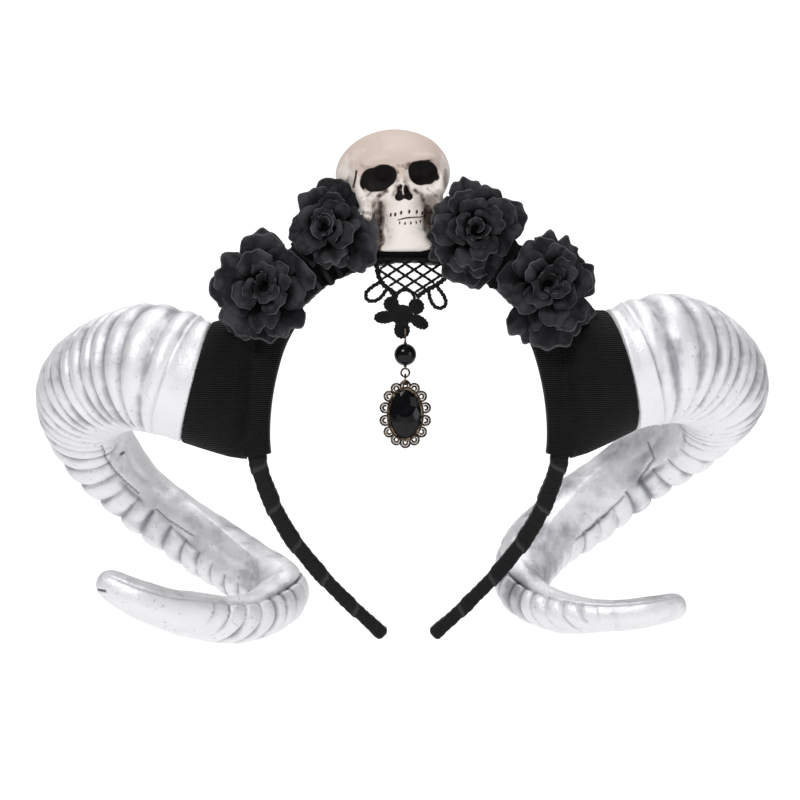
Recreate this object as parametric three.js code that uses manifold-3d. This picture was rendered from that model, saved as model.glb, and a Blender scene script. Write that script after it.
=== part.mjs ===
// Ram horns headband: a ribbon-wound hair band that carries two curled horns in cloth collars, a
// small skull, four cloth roses and a lace drop with a bead and a pendant.
// Millimetres, +Z up, the front looks along -Y. The origin is the top of the band's inner face.

import * as THREE from "three";
import { mergeVertices } from "three/addons/utils/BufferGeometryUtils.js";
import Module from "manifold-3d";

const wasm = await Module();
wasm.setup();

// Fits
const GAP = 0.3;
const CLOTH = 1.5;

// Band
const BAND_HALF_WIDTH = 69.2;
const BAND_DROP = 175.5;
const BAND_THICKNESS = 7.2;
const BAND_DEPTH = 12;
const BAND_TIP_THICKNESS = 5.2;
const BAND_TIP_DEPTH = 7.5;
const WRAP_PITCH = 20;
const WRAP_STEP = 0.8;
const WRAP_SLANT = 5;
const WRAP_ROOM = 1.4;
const BAND_SIDES = 8;
const BAND_ROUNDING = 0.35;

// Collars
const COLLAR_LENGTH = 28.3;
const COLLAR_RADIUS = 28.5;
const COLLAR_BAND_HEIGHT = 57.5;
const COLLAR_LEAN = 14.5;
const LEFT_RING_HEIGHT = 55.2;
const RIGHT_RING_HEIGHT = 49.7;
const RIGHT_RING_TURN = 7;
const SLEEVE_DISTANCE = 100;
const ROOT_INSET = 0.5;
const SLEEVE_STEP = 10;
const RING_SIDES = 12;

// Horns
const HORN_REACH = 50;
const HORN_BACK = 85;
const HORN_DROP = 110;
const HORN_RADIUS = 28.5;
const RIB_PITCH_ROOT = 10.5;
const RIB_PITCH_TIP = 8;
const RIBBED_LENGTH = 250;
const RIB_GROOVE = 0.075;
const SMOOTH_PITCH = 14;
const CURL_AXIS_OUT = 5;
const CURL_AXIS_BACK = 38;
const CURL_AXIS_LIFT = 12;
const ROOT_FLAT = 0.95;
const CURL_FLAT = 0.66;
const FLAT_POWER = 6;

// Skull
const SKULL_WIDTH = 53;
const SKULL_HEIGHT = 54;
const SKULL_DEPTH = 55;
const SKULL_X = -3.5;
const SKULL_TURN = 11;
const SKULL_ROLL = 5;
const SKULL_ROOM = 1.8;
const TOOTH_COUNT = 7;
const TOOTH_SPREAD = 109;
const TOOTH_RADIUS = 1.5;
const TOOTH_NECK = 1.3;
const TOOTH_HEIGHT = 4;
const TOOTH_SIDES = 5;

// Trim strip
const TRIM_HALF_LENGTH = 62;
const TRIM_WIDTH = 20;
const TRIM_WAVE = 0.7;
const TRIM_WAVE_COUNT = 11;

// Roses
const ROSE_RADIUS = 24;
const PETAL_CLOTH = 1.1;
const ROSE_HEIGHT = 17;
const CUP_FLOOR = 0.16;
const BUD_SHARE = 0.36;
const HUB_RADIUS = 5.5;
const PETAL_MIDDLE = 0.62;
const PETAL_POWER = 0.7;
const DROOP_POWER = 5;

// Lace
const LACE_HALF_WIDTH = 16.6;
const LACE_LENGTH = 17.6;
const LACE_SEAT = 1.4;
const LACE_CLOTH = 1.2;
const NET_ACROSS = 8.1;
const NET_DOWN = 5.3;
const NET_THREAD = 0.95;
const NET_BORDER = 1.8;
const NET_EYE_RADIUS = 3.4;
const PICOT_RADIUS = 5.9;
const PICOT_FLAT = 0.75;
const FLOWER_RADIUS = 9;
const FLOWER_ASIDE = 1.4;
const FLOWER_BELOW = 8.5;
const FLOWER_HOLE_BELOW = 4.9;
const LACE_HOLE_RADIUS = 1.5;
const LACE_HOLE_SIDES = 8;

// Drop and pendant
const DROP_X = -1.5;
const WIRE_RADIUS = 0.45;
const LOOP_HALF_HEIGHT = 3.9;
const LOOP_HALF_DEPTH = 2.3;
const BEAD_RADIUS = 5.05;
const BEAD_ROWS = 7;
const EYE_RADIUS = 1.9;
const EYE_NECK = 0.9;
const BAIL_RADIUS = 1.9;
const FRAME_HALF_WIDTH = 12;
const FRAME_HALF_HEIGHT = 15.6;
const FRAME_THICKNESS = 1.6;
const SCALLOP_COUNT = 14;
const SCALLOP_HOLE_RADIUS = 1.25;
const SCALLOP_INSET = 2.6;
const BAIL_SINK = 1.6;
const BEZEL_HALF_WIDTH = 7.9;
const BEZEL_HALF_HEIGHT = 11.9;
const BEZEL_WALL = 0.8;
const BEZEL_RISE = 2.0;
const STONE_RISE = 3.4;
const STONE_SIDES = 12;

// Rows of named columns
function table(columns, rows) {
  const names = columns.split(" ");
  return rows.map((row) => Object.fromEntries(names.map((name, i) => [name, row[i]])));
}

// One leg of the band: across as a share of the half width, down as a share of the drop
const BAND_LEG = table("across down", [
  [0, 0],
  [0.27, 0.012],
  [0.52, 0.051],
  [0.73, 0.119],
  [0.885, 0.211],
  [0.97, 0.316],
  [1.01, 0.421],
  [1.01, 0.512],
  [0.97, 0.586],
  [0.84, 0.704],
  [0.665, 0.801],
  [0.44, 0.898],
  [0.16, 1],
]);

// Collar sections from the band out to its rim: out as a share of the collar's length, tall and
// deep as shares of its radius, lean and rise as shares of what the rim has
const COLLAR_SECTIONS = table("out tall deep lean rise", [
  [-0.06, 1.15, 0.2, 0, 0],
  [0.12, 1.18, 0.34, 0.1, 0.05],
  [0.36, 1.16, 0.62, 0.35, 0.3],
  [0.68, 1.08, 0.86, 0.7, 0.65],
  [1, 1, 0.98, 1, 1],
]);

// Horn sections from the collar's rim to the tip: out, back and down as shares of the reach, the
// depth and the drop, size as a share of the radius
const LEFT_HORN = table("out back down size", [
  [0, 0, 0, 1],
  [0.44, 0.06, -0.06, 1.03],
  [1.03, 0.41, 0.03, 0.88],
  [1.05, 0.8, 0.25, 0.69],
  [0.68, 0.96, 0.48, 0.56],
  [0.12, 0.89, 0.67, 0.54],
  [-0.37, 0.65, 0.8, 0.53],
  [-0.75, 0.33, 0.9, 0.45],
  [-0.44, 0.05, 0.99, 0.39],
  [0.09, -0.14, 0.96, 0.37],
  [0.49, -0.21, 0.9, 0.32],
  [0.88, -0.18, 0.81, 0.1],
]);
const RIGHT_HORN = table("out back down size", [
  [0, 0, 0, 1],
  [0.44, 0.06, -0.05, 1.05],
  [0.94, 0.41, 0.05, 0.88],
  [0.84, 0.8, 0.22, 0.68],
  [0.27, 1, 0.43, 0.62],
  [-0.3, 0.88, 0.62, 0.62],
  [-0.74, 0.59, 0.77, 0.56],
  [-0.87, 0.24, 0.93, 0.42],
  [-0.56, 0, 1.01, 0.33],
  [-0.11, -0.14, 1.02, 0.26],
  [0.25, -0.19, 1, 0.24],
  [0.58, -0.16, 0.97, 0.08],
]);

// Skull masses: place and radii as shares of the skull's width, depth and height
const SKULL_MASSES = table("x y z rx ry rz", [
  [0, 0.08, 0.61, 0.49, 0.5, 0.39],
  [0, -0.22, 0.54, 0.37, 0.24, 0.19],
  [0, -0.27, 0.34, 0.2, 0.18, 0.2],
  [-0.27, -0.24, 0.38, 0.09, 0.14, 0.07],
  [0.27, -0.24, 0.38, 0.09, 0.14, 0.07],
  [0, -0.24, 0.09, 0.23, 0.2, 0.14],
  [0, -0.235, 0.18, 0.19, 0.185, 0.1],
  [0, 0.02, 0.2, 0.2, 0.22, 0.22],
]);

// Skull hollows, in the same shares: eye sockets, nose, and the recesses behind the cheekbones
const SKULL_HOLLOWS = table("x y z rx ry rz", [
  [-0.2, -0.44, 0.54, 0.135, 0.16, 0.135],
  [0.2, -0.44, 0.54, 0.135, 0.16, 0.135],
  [0, -0.47, 0.41, 0.075, 0.12, 0.09],
  [-0.3, -0.14, 0.22, 0.1, 0.15, 0.12],
  [0.3, -0.14, 0.22, 0.1, 0.15, 0.12],
]);

// Rows of teeth: half the row's width, its forward and deep parts and its level, as shares of the
// skull's width, depth and height
const TOOTH_ROWS = table("across forward deep level", [
  [0.18, 0.262, 0.155, 0.215],
  [0.18, 0.262, 0.155, 0.144],
]);

// Trim strip from the middle of the band to its end: along as a share of the half length, inner
// and outer edge as shares of the width, measured outwards from the band's middle line
const TRIM_EDGES = table("along inner outer", [
  [0, 0.04, 0.13],
  [0.26, 0.04, 0.13],
  [0.36, -0.22, 0.16],
  [0.48, -0.22, 0.85],
  [0.72, -0.22, 1],
  [1, -0.1, 0.9],
]);

// Roses: place across and up, size as a share of the rose's radius, stand off the strip, tilts
// about the upright and the level axis, and turn about the rose's own axis
const ROSES = table("x z size stand yaw pitch turn", [
  [-64.2, -13.3, 1.03, 5, -10, 6, 20],
  [-36.5, 14.5, 0.86, 2, -6, 8, 50],
  [29.6, 13.3, 0.96, 2, 8, 6, 5],
  [62.2, -11.6, 1, 5, 10, 4, 35],
]);

// Layers of a rose: petals, reach as a share of the radius, foot and rim heights as shares of the
// rose's height, the power of the cup's curve, notch between petals and droop of the rim
const ROSE_LAYERS = table("name petals reach foot rim power notch droop", [
  ["outer_petals", 5, 1, 0, 0.34, 1.6, 0.22, 0.14],
  ["middle_petals", 4, 0.74, 0.09, 0.68, 1.5, 0.2, 0.1],
  ["inner_petals", 3, 0.47, 0.16, 0.95, 1.3, 0.16, 0.05],
]);

// Profile of the bud: out as a share of its radius, up as a share of its height
const BUD_PROFILE = table("out up", [
  [0, 0],
  [0.3, 0],
  [0.62, 0.35],
  [0.95, 0.68],
  [1, 0.82],
  [0.75, 0.97],
  [0.35, 1],
  [0, 0.88],
]);

// Side edges of the net: down as a share of the lace's length, left and right as shares of its
// half width
const LACE_EDGES = table("down left right", [
  [0, -0.9, 0.95],
  [0.2, -0.9, 1.12],
  [0.52, -0.79, 1.03],
  [0.73, -0.6, 0.68],
  [1, -0.42, 0.2],
]);

// Picot loops: place as shares of the half width and the length, tilt in degrees
const PICOTS = table("x z tilt", [
  [-0.87, -0.88, 35],
  [0.75, -1.02, -46],
]);

// Petals of the lace flower: place and half sizes as shares of the flower's radius, tilt in degrees
const LACE_PETALS = table("x z rx rz tilt", [
  [0, 0, 0.52, 0.5, 0],
  [-0.56, 0.56, 0.36, 0.36, 0],
  [-0.88, -0.1, 0.52, 0.29, 0],
  [0.86, -0.29, 0.5, 0.28, -35],
  [0.72, 0.45, 0.36, 0.4, 0],
  [-0.02, -0.74, 0.42, 0.4, 0],
]);

// One scallop of the pendant's rim: offset in scallops, share of the rim's half sizes
const SCALLOP_OUTLINE = table("offset share", [
  [-0.5, 0.86],
  [-0.22, 0.98],
  [0.22, 0.98],
]);

// Levels of the cut stone: size as a share of its seat, rise as a share of its height, turn in sides
const STONE_LEVELS = table("size rise turn", [
  [0.92, 0, 0],
  [1, 0.2, 0],
  [1, 0.45, 0],
  [0.8, 0.78, 0.5],
  [0.5, 1, 0],
]);

// Solids

function solid(geometry) {
  const bare = geometry.clone();
  bare.deleteAttribute("normal");
  bare.deleteAttribute("uv");
  const merged = mergeVertices(bare, 1e-4);
  const corners = [];
  for (let i = 0; i < merged.index.count; i += 3) {
    const [a, b, c] = [0, 1, 2].map((k) => merged.index.getX(i + k));
    if (a !== b && b !== c && c !== a) corners.push(a, b, c);
  }
  return new wasm.Manifold(new wasm.Mesh({
    numProp: 3,
    vertProperties: Float32Array.from(merged.attributes.position.array),
    triVerts: Uint32Array.from(corners),
  }));
}

function skin(body) {
  const parts = body.decompose().sort((a, b) => b.volume() - a.volume());
  const mesh = parts[0].getMesh();
  const geometry = new THREE.BufferGeometry();
  geometry.setAttribute("position", new THREE.BufferAttribute(mesh.vertProperties, 3));
  geometry.setIndex(new THREE.BufferAttribute(mesh.triVerts, 1));
  geometry.computeVertexNormals();
  return geometry;
}

function volumeOf(points, corners) {
  let sum = 0;
  for (let i = 0; i < corners.length; i += 3) {
    const [a, b, c] = [points[corners[i]], points[corners[i + 1]], points[corners[i + 2]]];
    sum += a.dot(new THREE.Vector3().crossVectors(b, c)) / 6;
  }
  return sum;
}

// A closed skin of points and triangles, turned so that its faces point out
function closedSkin(points, corners) {
  if (volumeOf(points, corners) < 0) corners.reverse();
  const geometry = new THREE.BufferGeometry().setFromPoints(points);
  geometry.setIndex(corners);
  geometry.computeVertexNormals();
  return geometry;
}

// A closed skin through a row of rings, with a fan over each end
function loft(rings) {
  const count = rings[0].length;
  const points = rings.flat();
  const corners = [];
  for (let j = 0; j + 1 < rings.length; j += 1) {
    for (let i = 0; i < count; i += 1) {
      const a = j * count + i;
      const b = j * count + ((i + 1) % count);
      corners.push(a, b, a + count, b, b + count, a + count);
    }
  }
  const lastStart = (rings.length - 1) * count;
  for (const [start, ring, turned] of [[0, rings[0], true], [lastStart, rings.at(-1), false]]) {
    const middle = ring.reduce((sum, p) => sum.add(p), new THREE.Vector3()).divideScalar(count);
    points.push(middle);
    for (let i = 0; i < count; i += 1) {
      const a = start + i;
      const b = start + ((i + 1) % count);
      corners.push(...(turned ? [b, a, points.length - 1] : [a, b, points.length - 1]));
    }
  }
  return closedSkin(points, corners);
}

function ellipsoid(x, y, z, rx, ry, rz) {
  const [around, up] = Math.max(rx, ry, rz) > SKULL_WIDTH / 5 ? [11, 7] : [8, 5];
  return solid(new THREE.SphereGeometry(1, around, up).rotateX(Math.PI / 2).scale(rx, ry, rz)
    .translate(x, y, z));
}

// A rounded rectangle in polar steps: half sizes a and b, point k of count
function roundedBox(a, b, k, count) {
  const angle = (2 * Math.PI * (k + 0.5)) / count;
  const squared = (value) => Math.sign(value) * Math.abs(value) ** BAND_ROUNDING;
  return [a * squared(Math.cos(angle)), b * squared(Math.sin(angle))];
}

// Value of a column at a place along the rows of a table, by straight lines between them
function column(rows, key, name, at) {
  const next = rows.findIndex((row) => row[key] >= at);
  if (next <= 0) return next === 0 ? rows[0][name] : rows.at(-1)[name];
  const [a, b] = [rows[next - 1], rows[next]];
  return THREE.MathUtils.lerp(a[name], b[name], (at - a[key]) / (b[key] - a[key]));
}

// Band

const bandLeg = (side) => BAND_LEG.map((row) => new THREE.Vector3(
  side * row.across * BAND_HALF_WIDTH, 0, BAND_THICKNESS / 2 - row.down * BAND_DROP));
const bandLine = new THREE.CatmullRomCurve3([...bandLeg(-1).reverse(), ...bandLeg(1).slice(1)]);
bandLine.arcLengthDivisions = 600;
const bandLength = bandLine.getLength();

// Place on the band's middle line at a distance from its top, to the right if positive, moved
// outwards and back
function bandPlace(distance, outwards, back) {
  const share = THREE.MathUtils.clamp(0.5 + distance / bandLength, 0, 1);
  const tangent = bandLine.getTangentAt(share);
  const outward = new THREE.Vector3(-tangent.z, 0, tangent.x);
  const place = bandLine.getPointAt(share).addScaledVector(outward, outwards);
  place.y += back;
  return place;
}

// Half sizes of the band's section, which taper over the last part of each leg
function bandHalf(distance) {
  const share = Math.abs(distance) / (bandLength / 2);
  const taper = THREE.MathUtils.smoothstep(share, 0.55, 1);
  return [
    THREE.MathUtils.lerp(BAND_THICKNESS, BAND_TIP_THICKNESS, taper) / 2,
    THREE.MathUtils.lerp(BAND_DEPTH, BAND_TIP_DEPTH, taper) / 2,
  ];
}

function bandRing(distance, grow, slant) {
  const ring = [];
  const [thick, deep] = bandHalf(distance);
  for (let k = 0; k < BAND_SIDES; k += 1) {
    const [a, b] = roundedBox(thick + grow, deep + grow, k, BAND_SIDES);
    ring.push(bandPlace(distance + (slant * b) / deep, a, b));
  }
  return ring;
}

// The band's outer form between two distances, grown all round
function bandForm(from, to, grow) {
  const steps = Math.ceil((to - from) / SLEEVE_STEP);
  const rings = [];
  for (let j = 0; j <= steps; j += 1) {
    rings.push(bandRing(THREE.MathUtils.lerp(from, to, j / steps), grow, 0));
  }
  return solid(loft(rings));
}

// The ribbon's slanting turns thicken down each leg and step back at the next turn's edge
function headband() {
  const half = bandLength / 2;
  const turns = Math.round(half / WRAP_PITCH);
  const pitch = half / turns;
  const edge = GAP;
  const marks = [[0, WRAP_STEP / 2]];
  for (let turn = 0; turn < turns; turn += 1) {
    marks.push([(turn + 0.5) * pitch, WRAP_STEP / 2], [(turn + 1) * pitch - edge, WRAP_STEP]);
    if (turn + 1 < turns) marks.push([(turn + 1) * pitch + edge, 0]);
  }
  const leg = (side) => marks.map(([distance, rise]) => {
    const room = Math.min(distance, half - distance) / pitch;
    return bandRing(side * distance, rise, WRAP_SLANT * THREE.MathUtils.clamp(room, 0, 1));
  });
  return loft([...leg(-1).reverse(), ...leg(1).slice(1)]);
}

// Collars and horns. Both are worked out with +X pointing out from the head, and then placed on
// their side of it.

const SIDES = [
  { name: "left", side: -1, height: LEFT_RING_HEIGHT, turn: 0, rows: LEFT_HORN },
  { name: "right", side: 1, height: RIGHT_RING_HEIGHT, turn: RIGHT_RING_TURN, rows: RIGHT_HORN },
];

function onSide(points, side) {
  return points.map((p) => new THREE.Vector3(side * p.x, p.y, p.z));
}

// A section of the collar at a share of its length, drawn in by an inset and moved out along its
// own axis
function collarRing(half, share, inset, shift) {
  const at = (name) => column(COLLAR_SECTIONS, "out", name, share);
  const lean = THREE.MathUtils.degToRad(at("lean") * COLLAR_LEAN);
  const turn = THREE.MathUtils.degToRad(at("lean") * half.turn);
  const level = new THREE.Vector3(Math.cos(turn), Math.sin(turn), 0);
  const axis = level.multiplyScalar(Math.cos(lean)).setZ(Math.sin(lean));
  const back = new THREE.Vector3(-Math.sin(turn), Math.cos(turn), 0);
  const down = new THREE.Vector3().crossVectors(back, axis);
  const height = THREE.MathUtils.lerp(COLLAR_BAND_HEIGHT, half.height, at("rise"));
  const middle = new THREE.Vector3(BAND_HALF_WIDTH + share * COLLAR_LENGTH, 0, -height);
  middle.addScaledVector(axis, shift);
  const ring = [];
  for (let k = 0; k < RING_SIDES; k += 1) {
    const angle = (2 * Math.PI * k) / RING_SIDES;
    ring.push(middle.clone()
      .addScaledVector(back, Math.cos(angle) * (at("deep") * COLLAR_RADIUS - inset))
      .addScaledVector(down, -Math.sin(angle) * (at("tall") * COLLAR_RADIUS - inset)));
  }
  return ring;
}

function collarForm(half, inset, rimShift) {
  const rings = COLLAR_SECTIONS.map((row) => collarRing(half, row.out, inset, 0));
  if (rimShift) rings.push(collarRing(half, 1, inset, rimShift));
  return solid(loft(rings.map((ring) => onSide(ring, half.side))));
}

// The sleeve is a wall of cloth round the horn's root and round the band that passes through it
function collar(half) {
  const tall = COLLAR_SECTIONS[0].tall * COLLAR_RADIUS;
  const from = half.side * SLEEVE_DISTANCE - tall;
  const past = BAND_DEPTH;
  const sleeve = bandForm(from, from + 2 * tall, WRAP_ROOM + CLOTH);
  const hole = bandForm(from - past, from + 2 * tall + past, WRAP_ROOM);
  const outer = collarForm(half, 0, 0).add(sleeve);
  return skin(outer.subtract(collarForm(half, CLOTH, CLOTH)).subtract(hole));
}

// Share of the full radius at an angle from the flat inner face of the horn
function hornOutline(angle, flat) {
  const facing = Math.cos(angle);
  return facing > 0 ? 1 / ((facing / flat) ** FLAT_POWER + 1) ** (1 / FLAT_POWER) : 1;
}

function horn(half) {
  const rows = half.rows;
  const origin = new THREE.Vector3(BAND_HALF_WIDTH + COLLAR_LENGTH, 0, -half.height);
  const line = new THREE.CatmullRomCurve3(rows.map((row) => new THREE.Vector3(
    row.out * HORN_REACH, row.back * HORN_BACK, -row.down * HORN_DROP).add(origin)));
  line.arcLengthDivisions = 400;
  const length = line.getLength();
  const curlAxis = (place) => new THREE.Vector3(
    origin.x + CURL_AXIS_OUT, CURL_AXIS_BACK, place.z + CURL_AXIS_LIFT);

  function section(distance, groove) {
    const share = distance / length;
    const place = line.getPointAt(share);
    const tangent = line.getTangentAt(share);
    const raw = line.getUtoTmapping(share) * (rows.length - 1);
    const row = Math.min(Math.floor(raw), rows.length - 2);
    const size = THREE.MathUtils.lerp(rows[row].size, rows[row + 1].size, raw - row) * HORN_RADIUS;
    const inward = curlAxis(place).sub(place);
    inward.addScaledVector(tangent, -inward.dot(tangent)).normalize();
    const across = new THREE.Vector3().crossVectors(tangent, inward);
    const curled = THREE.MathUtils.smoothstep(share, 0, 0.2);
    const flat = THREE.MathUtils.lerp(ROOT_FLAT, CURL_FLAT, curled);
    const ring = [];
    for (let k = 0; k < RING_SIDES; k += 1) {
      const angle = (2 * Math.PI * k) / RING_SIDES;
      const ribbed = THREE.MathUtils.smoothstep(-Math.cos(angle), -0.5, 0);
      const radius = size * hornOutline(angle, flat) * (1 - groove * ribbed);
      ring.push(place.clone().addScaledVector(inward, Math.cos(angle) * radius)
        .addScaledVector(across, Math.sin(angle) * radius));
    }
    return ring;
  }

  const rootInset = CLOTH + ROOT_INSET;
  const rings = COLLAR_SECTIONS.slice(-2).map((row) => collarRing(half, row.out, rootInset, 0));
  rings.push(collarRing(half, 1, rootInset, GAP), collarRing(half, 1, 0, GAP));
  let distance = RIB_PITCH_ROOT / 2;
  while (distance < RIBBED_LENGTH) {
    const pitch = THREE.MathUtils.lerp(RIB_PITCH_ROOT, RIB_PITCH_TIP, distance / RIBBED_LENGTH);
    rings.push(section(distance, 0), section(distance + pitch / 2, RIB_GROOVE));
    distance += pitch;
  }
  const left = length - distance;
  const smooth = Math.ceil(left / SMOOTH_PITCH);
  for (let j = 0; j < smooth; j += 1) rings.push(section(distance + (left * j) / smooth, 0));
  rings.push(section(length - 0.5, 0));
  return loft(rings.map((ring) => onSide(ring, half.side)));
}

// Skull

const skullPlace = new THREE.Matrix4()
  .makeTranslation(SKULL_X, 0, BAND_THICKNESS + GAP)
  .multiply(new THREE.Matrix4().makeRotationY(THREE.MathUtils.degToRad(-SKULL_ROLL)))
  .multiply(new THREE.Matrix4().makeRotationZ(THREE.MathUtils.degToRad(SKULL_TURN)));

function skullMass(row, grow) {
  return ellipsoid(row.x * SKULL_WIDTH, row.y * SKULL_DEPTH, row.z * SKULL_HEIGHT,
    row.rx * SKULL_WIDTH + grow, row.ry * SKULL_DEPTH + grow, row.rz * SKULL_HEIGHT + grow);
}

function skullTeeth(body) {
  let whole = body;
  for (const row of TOOTH_ROWS) {
    for (let k = 0; k < TOOTH_COUNT; k += 1) {
      const angle = THREE.MathUtils.degToRad(((k + 0.5) / TOOTH_COUNT - 0.5) * TOOTH_SPREAD);
      const tooth = new THREE.CylinderGeometry(TOOTH_RADIUS, TOOTH_NECK, TOOTH_HEIGHT, TOOTH_SIDES);
      tooth.rotateX(Math.PI / 2).translate(row.across * SKULL_WIDTH * Math.sin(angle),
        -(row.forward + row.deep * Math.cos(angle)) * SKULL_DEPTH, row.level * SKULL_HEIGHT);
      whole = whole.add(solid(tooth));
    }
  }
  return whole;
}

function skull() {
  let body = skullMass(SKULL_MASSES[0], 0);
  for (const row of SKULL_MASSES.slice(1)) body = body.add(skullMass(row, 0));
  for (const row of SKULL_HOLLOWS) body = body.subtract(skullMass(row, 0));
  body = skullTeeth(body);
  const below = new THREE.BoxGeometry(2 * SKULL_WIDTH, 2 * SKULL_DEPTH, SKULL_HEIGHT);
  body = body.subtract(solid(below.translate(0, 0, -SKULL_HEIGHT / 2)));
  body = solid(skin(body).applyMatrix4(skullPlace));
  return skin(body.subtract(bandForm(-SKULL_WIDTH, SKULL_WIDTH, WRAP_STEP + GAP)));
}

// The skull's main masses, grown by a clearance, which the roses beside it keep clear of
function skullRoom() {
  let room = skullMass(SKULL_MASSES[0], SKULL_ROOM);
  for (const row of SKULL_MASSES.slice(1)) room = room.add(skullMass(row, SKULL_ROOM));
  return solid(skin(room).applyMatrix4(skullPlace));
}

// Trim strip: a cloth strip in ruffles on the front of the band

const trimFront = BAND_DEPTH / 2 + WRAP_STEP + GAP + TRIM_WAVE * 2 + CLOTH;

function trimStrip() {
  const steps = TRIM_WAVE_COUNT * 4;
  const rings = [];
  for (let j = 0; j <= steps; j += 1) {
    const share = (2 * j) / steps - 1;
    const wave = TRIM_WAVE * Math.sin((2 * Math.PI * TRIM_WAVE_COUNT * j) / steps);
    const inner = column(TRIM_EDGES, "along", "inner", Math.abs(share)) * TRIM_WIDTH;
    const outer = column(TRIM_EDGES, "along", "outer", Math.abs(share)) * TRIM_WIDTH;
    const face = -(trimFront - TRIM_WAVE) - wave;
    const corners = [[inner, face], [outer, face], [outer, face + CLOTH], [inner, face + CLOTH]];
    const distance = share * TRIM_HALF_LENGTH;
    rings.push(corners.map(([outwards, back]) => bandPlace(distance, outwards, back)));
  }
  return loft(rings);
}

// Roses: nested cups of petals round a rolled bud, worked out with the axis along +Z

function cupHeight(layer, share) {
  return (layer.foot + (layer.rim - layer.foot) * share ** layer.power) * ROSE_HEIGHT;
}

function petalCup(layer, size) {
  const count = layer.petals * 3;
  const shares = [CUP_FLOOR, PETAL_MIDDLE, 1];
  const rise = (layer.rim - layer.foot) * ROSE_HEIGHT;
  const faces = [-1, 1].map((face) => shares.map((share) => {
    const ring = [];
    for (let k = 0; k < count; k += 1) {
      const angle = (2 * Math.PI * k) / count;
      const petal = Math.abs(Math.sin((angle * layer.petals) / 2)) ** PETAL_POWER;
      const reach = layer.reach * ROSE_RADIUS * size;
      const radius = reach * share * (1 - layer.notch * (1 - petal) * share);
      const droop = layer.droop * ROSE_HEIGHT * petal * share ** DROOP_POWER;
      const height = cupHeight(layer, share) - droop;
      const slope = (rise * layer.power * share ** (layer.power - 1)) / reach;
      const thick = (face * PETAL_CLOTH) / 2 / Math.hypot(1, slope);
      const out = radius - thick * slope;
      ring.push(new THREE.Vector3(Math.cos(angle) * out, Math.sin(angle) * out, height + thick));
    }
    return ring;
  }));
  return loft([...faces[0], ...faces[1].reverse()]);
}

// The bud stands on the floor of the inner petals and widens inside them
function bud(size) {
  const inner = ROSE_LAYERS.at(-1);
  const foot = cupHeight(inner, CUP_FLOOR) + PETAL_CLOTH / 2 + GAP;
  const radius = BUD_SHARE * inner.reach * ROSE_RADIUS * size;
  const points = BUD_PROFILE.map((row) => new THREE.Vector2(
    row.out * radius, THREE.MathUtils.lerp(foot, ROSE_HEIGHT, row.up)));
  return new THREE.LatheGeometry(points, 8).rotateX(Math.PI / 2);
}

function rosePlace(rose) {
  return new THREE.Matrix4()
    .makeTranslation(rose.x, -(trimFront + GAP + PETAL_CLOTH / 2 + rose.stand), rose.z)
    .multiply(new THREE.Matrix4().makeRotationZ(THREE.MathUtils.degToRad(rose.yaw)))
    .multiply(new THREE.Matrix4().makeRotationX(THREE.MathUtils.degToRad(90 - rose.pitch)))
    .multiply(new THREE.Matrix4().makeRotationZ(THREE.MathUtils.degToRad(rose.turn)));
}

// All beyond the upright plane half way between a rose and its neighbour
function beyondNeighbour(rose, neighbour) {
  const reach = 4 * ROSE_RADIUS;
  const between = new THREE.Vector3(neighbour.x - rose.x, 0, neighbour.z - rose.z);
  const share = rose.size / (rose.size + neighbour.size);
  const box = new THREE.BoxGeometry(reach, reach, reach).translate(reach / 2 + GAP / 2, 0, 0);
  box.rotateY(-Math.atan2(between.z, between.x));
  return solid(box.translate(rose.x + between.x * share, 0, rose.z + between.z * share));
}

// All behind the front of the trim strip, which carries the roses
function behindTrim() {
  const reach = 4 * BAND_HALF_WIDTH;
  const box = new THREE.BoxGeometry(reach, reach, reach);
  return solid(box.translate(0, reach / 2 - trimFront - GAP, 0));
}

function rosePieces(rose, index, room) {
  const neighbour = ROSES[index % 2 ? index - 1 : index + 1];
  const place = rosePlace(rose);
  const cuts = [behindTrim(), beyondNeighbour(rose, neighbour), ...room];
  const pieces = ROSE_LAYERS.map((layer) => {
    let body = solid(petalCup(layer, rose.size).applyMatrix4(place));
    if (layer.foot === 0) {
      const tall = rose.stand + PETAL_CLOTH / 2;
      const hub = new THREE.CylinderGeometry(HUB_RADIUS, HUB_RADIUS, tall, 8);
      body = body.add(solid(hub.translate(rose.x, -(trimFront + GAP + tall / 2), rose.z)));
    }
    for (const cut of cuts) body = body.subtract(cut);
    return [layer.name, skin(body)];
  });
  pieces.push(["bud", bud(rose.size).applyMatrix4(place)]);
  return pieces;
}

// Lace: net with border cords, a ring hole, two picot loops and a flower, cut through

const laceFace = -(BAND_DEPTH / 2 + WRAP_STEP + GAP + LACE_CLOTH);
const flowerX = DROP_X - FLOWER_ASIDE;
const flowerZ = LACE_SEAT - LACE_LENGTH - FLOWER_BELOW;
const laceHoleZ = flowerZ - FLOWER_HOLE_BELOW;

// An outline round a middle, tilted by degrees, as points that run round it one way or the other
function ovalPath(x, z, rx, rz, count, tilt = 0) {
  const points = [];
  const turn = THREE.MathUtils.degToRad(tilt);
  for (let k = 0; k < count; k += 1) {
    const angle = (2 * Math.PI * k) / count;
    const point = new THREE.Vector2(rx * Math.cos(angle), rz * Math.sin(angle));
    points.push(point.rotateAround(new THREE.Vector2(), turn).add(new THREE.Vector2(x, z)));
  }
  return points;
}

// A flat outline with holes, drawn across and up and given a thickness towards the back
function plate(outline, holes, face, thickness) {
  const shape = new THREE.Shape(outline);
  shape.holes = holes.map((hole) => new THREE.Path(hole.toReversed()));
  const geometry = new THREE.ExtrudeGeometry(shape, { depth: thickness, bevelEnabled: false });
  return solid(geometry.rotateX(Math.PI / 2).translate(0, face + thickness, 0));
}

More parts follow.
